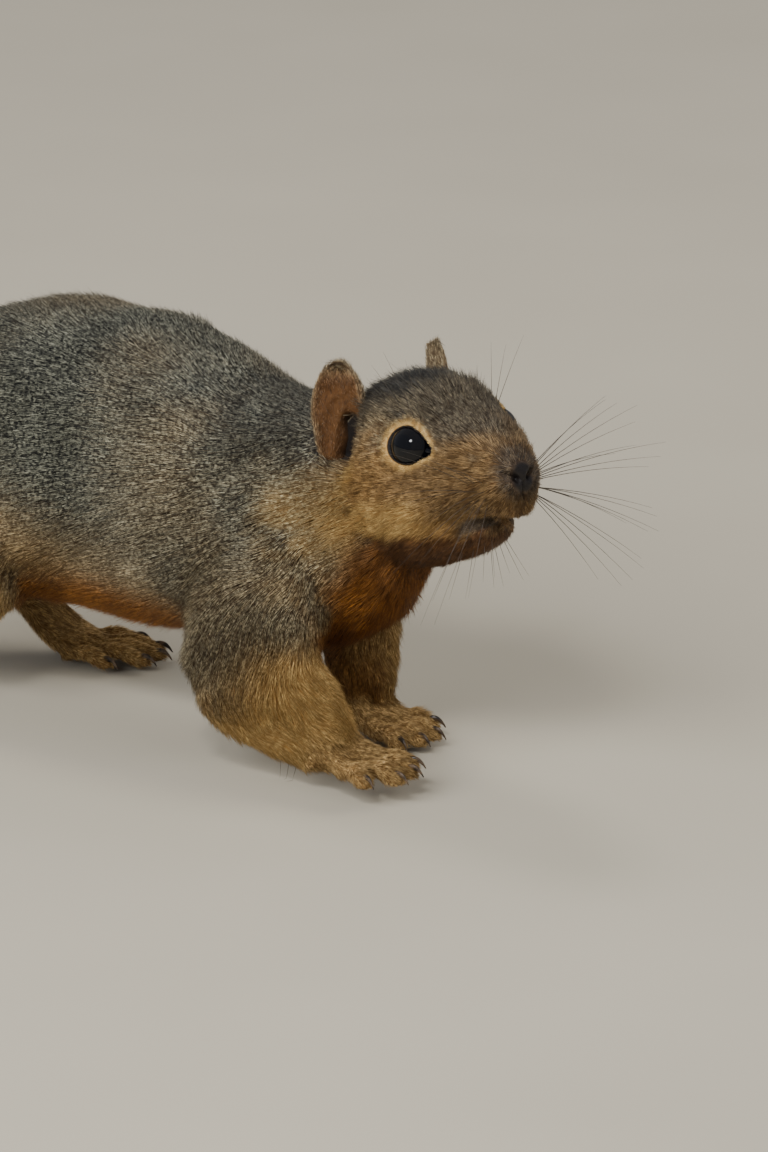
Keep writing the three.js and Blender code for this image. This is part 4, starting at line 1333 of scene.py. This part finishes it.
carry = BRUSH_SWEEP / BRUSH_STEP * brush_rng.uniform(0.7, 1.3, BRUSH_LOCKS)
furthest = LAST_STATION - brush_rng.random(BRUSH_LOCKS) ** 2 * 3
tip_place = np.maximum(np.minimum(core_place + carry, furthest), core_place)
outer = brush_rng.uniform(0.5, 1.0, BRUSH_LOCKS) ** 0.5
radial = np.stack([0 * angle, np.cos(angle), np.sin(angle)], axis=1)
core_radius = along_brush(tail_core_radius[:, None], core_place)
brush_root = along_brush(brush_middle, core_place) + radial * core_radius * 0.8
slim_base = 0.7 + 0.3 * ease(0, 9, core_place)
# At the very end the locks close over the tip, and those in the middle reach furthest.
closing = brush_rng.random(BRUSH_LOCKS) * ease(LAST_STATION - 5, LAST_STATION, tip_place)
outer *= 1 - closing
brush_tip = along_brush(brush_middle, tip_place)
brush_tip += radial * along_brush(brush_half, tip_place) * (outer * slim_base)[:, None]
brush_tip[:, 0] -= 5 * closing
brush_tip += brush_rng.normal(0, BRUSH_RAGGED, brush_tip.shape)
bow = brush_root + (brush_tip - brush_root) * (0.35, 0.62, 0.62)
shares_along = np.linspace(0, 1, BRUSH_RINGS + 1)[None, :, None]
brush_centres = (
    brush_root[:, None] * (1 - shares_along) ** 2
    + bow[:, None] * 2 * shares_along * (1 - shares_along)
    + brush_tip[:, None] * shares_along**2
)
brush_centres[..., 2] = np.maximum(brush_centres[..., 2], OFF_FLOOR)
brush_widths = brush_rng.uniform(0.4, 0.8, BRUSH_LOCKS)[:, None] * (0.6, 1.0)
above_it = ease(-0.2, 0.7, np.sin(angle))
brush_shares = np.stack([above_it, 1 - above_it, 0 * angle, core_share], axis=1)
brush_kinds = brush_rng.random((BRUSH_LOCKS, 3))
brush_map = np.stack([core_share, angle / (2 * math.pi) + 0.5], axis=1)

long_hair, long_tree, long_shader = new_material("brush_hair")
on_top = carried_by(long_tree, "marks")[1]["Red"]
strand = carried_by(long_tree, "strand")[1]
black_band = product(
    long_tree,
    span(long_tree, strand["Red"], 0.35, 0.55),
    span(long_tree, strand["Red"], 0.92, 0.74),
    span(long_tree, on_top, 0.0, 1.0, 0.35, 0.95),
    span(long_tree, strand["Green"], 0.1, 0.5, 0.35, 1.0),
)
lower = mixed(long_tree, span(long_tree, strand["Red"], 0.0, 0.9), paint(108, 62, 28), paint(194, 126, 62))
upper = mixed(long_tree, span(long_tree, strand["Red"], 0.2, 1.0), paint(104, 78, 46), paint(196, 150, 92))
long_tint = mixed(long_tree, on_top, lower, upper)
long_tint = mixed(long_tree, black_band, long_tint, paint(26, 23, 21))
long_tint = shaded(long_tree, long_tint, strand["Blue"], 0.7, 1.1)
long_tree.links.new(long_tint, long_shader.inputs["Base Color"])
long_shader.inputs["Roughness"].default_value = 0.5
brush_lots = (brush_centres, brush_widths, radial, brush_shares, brush_kinds, brush_map)
for number, chosen in enumerate(np.array_split(np.argsort(core_share, kind="stable"), 2)):
    label = f"brush_{number + 1}"
    brush_mesh = lock_mesh(label, *(lot[chosen] for lot in brush_lots))
    brush_mesh.materials.append(long_hair)
    brush_piece = add_piece(label, brush_mesh)
    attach(brush_piece, "root")

# ---- The whiskers ----
# Long, stiff, dark hairs in rows on each side of the muzzle, with a few over the eyes, under the chin and
# behind the wrists. Each bends under its own weight and tapers to nothing.

WHISKER_STEPS = 9
WHISKER_ROOTED = 0.4  # how deep in the skin a hair starts
whisker_rng = np.random.default_rng(41)
whisker_solids = []


def add_whisker(near, direction, length, droop, radius):
    """A stiff hair from the skin nearest to a spot, drooping by so much of its length at its tip."""
    root = np.array(hide_surface.find_nearest(near.tolist())[0][:])
    share = np.linspace(0, 1, WHISKER_STEPS)[:, None]
    path = root + unit(direction) * (length * share - WHISKER_ROOTED) - up_axis * droop * length * share**2
    path[:, 2] = np.maximum(path[:, 2], HAIR_OFF_FLOOR)
    whisker_solids.append(tube(path, radius * (1 - 0.8 * share[:, 0]), 5))


for side, in_row, thickness in ((RIGHT, 3, 0.075), (LEFT, 5, 0.11)):
    for row in range(4):
        for place_in_row in range(in_row):
            near = from_head((22.8 - 1.5 * place_in_row, side * (6.5 + 0.7 * place_in_row), -3.2 - 1.6 * row))
            fan = 0.55 - 0.42 * row + whisker_rng.normal(0, 0.06)
            back = 0.55 - 0.2 * place_in_row + whisker_rng.normal(0, 0.06)
            direction = head_turn @ (back, side * 0.9, fan)
            add_whisker(near, direction, whisker_rng.uniform(27, 33) + 1.6 * place_in_row, 0.12, thickness)
    # Over the eye, under the chin and behind the wrist.
    for count in range(3):
        near = from_head((8 - 2 * count, side * 12, 12.5))
        direction = head_turn @ (0.35 - 0.3 * count, side * 0.35, 1)
        add_whisker(near, direction, whisker_rng.uniform(15, 21), 0.1, 0.08)
    for count in range(5):
        near = from_head((18 - 3.5 * count, side * (2 + 0.8 * count), -19))
        direction = head_turn @ (0.3 - 0.2 * count, side * 0.3, -1)
        add_whisker(near, direction, whisker_rng.uniform(9, 14), -0.05, 0.07)
    wrist = np.array([*LIMBS["hand_right" if side == RIGHT else "hand_left"]["at"], 8])
    for count in range(3):
        near = wrist + (-10 - 3 * count, side * 2, 0)
        add_whisker(near, np.array([-0.15 + 0.15 * count, side * 0.25, -1]), 12 - count, -0.1, 0.07)
whisker_horn, whisker_tree, whisker_shader = new_material("whisker_hair")
whisker_tint = mixed(whisker_tree, cloud(whisker_tree, 300.0), paint(30, 26, 24), paint(86, 76, 66))
whisker_tree.links.new(whisker_tint, whisker_shader.inputs["Base Color"])
whisker_shader.inputs["Roughness"].default_value = 0.4
whisker_mesh = make_mesh("whiskers", *joined(whisker_solids))
whisker_mesh.materials.append(whisker_horn)
whiskers = add_piece("whiskers", whisker_mesh)
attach(whiskers, "root")
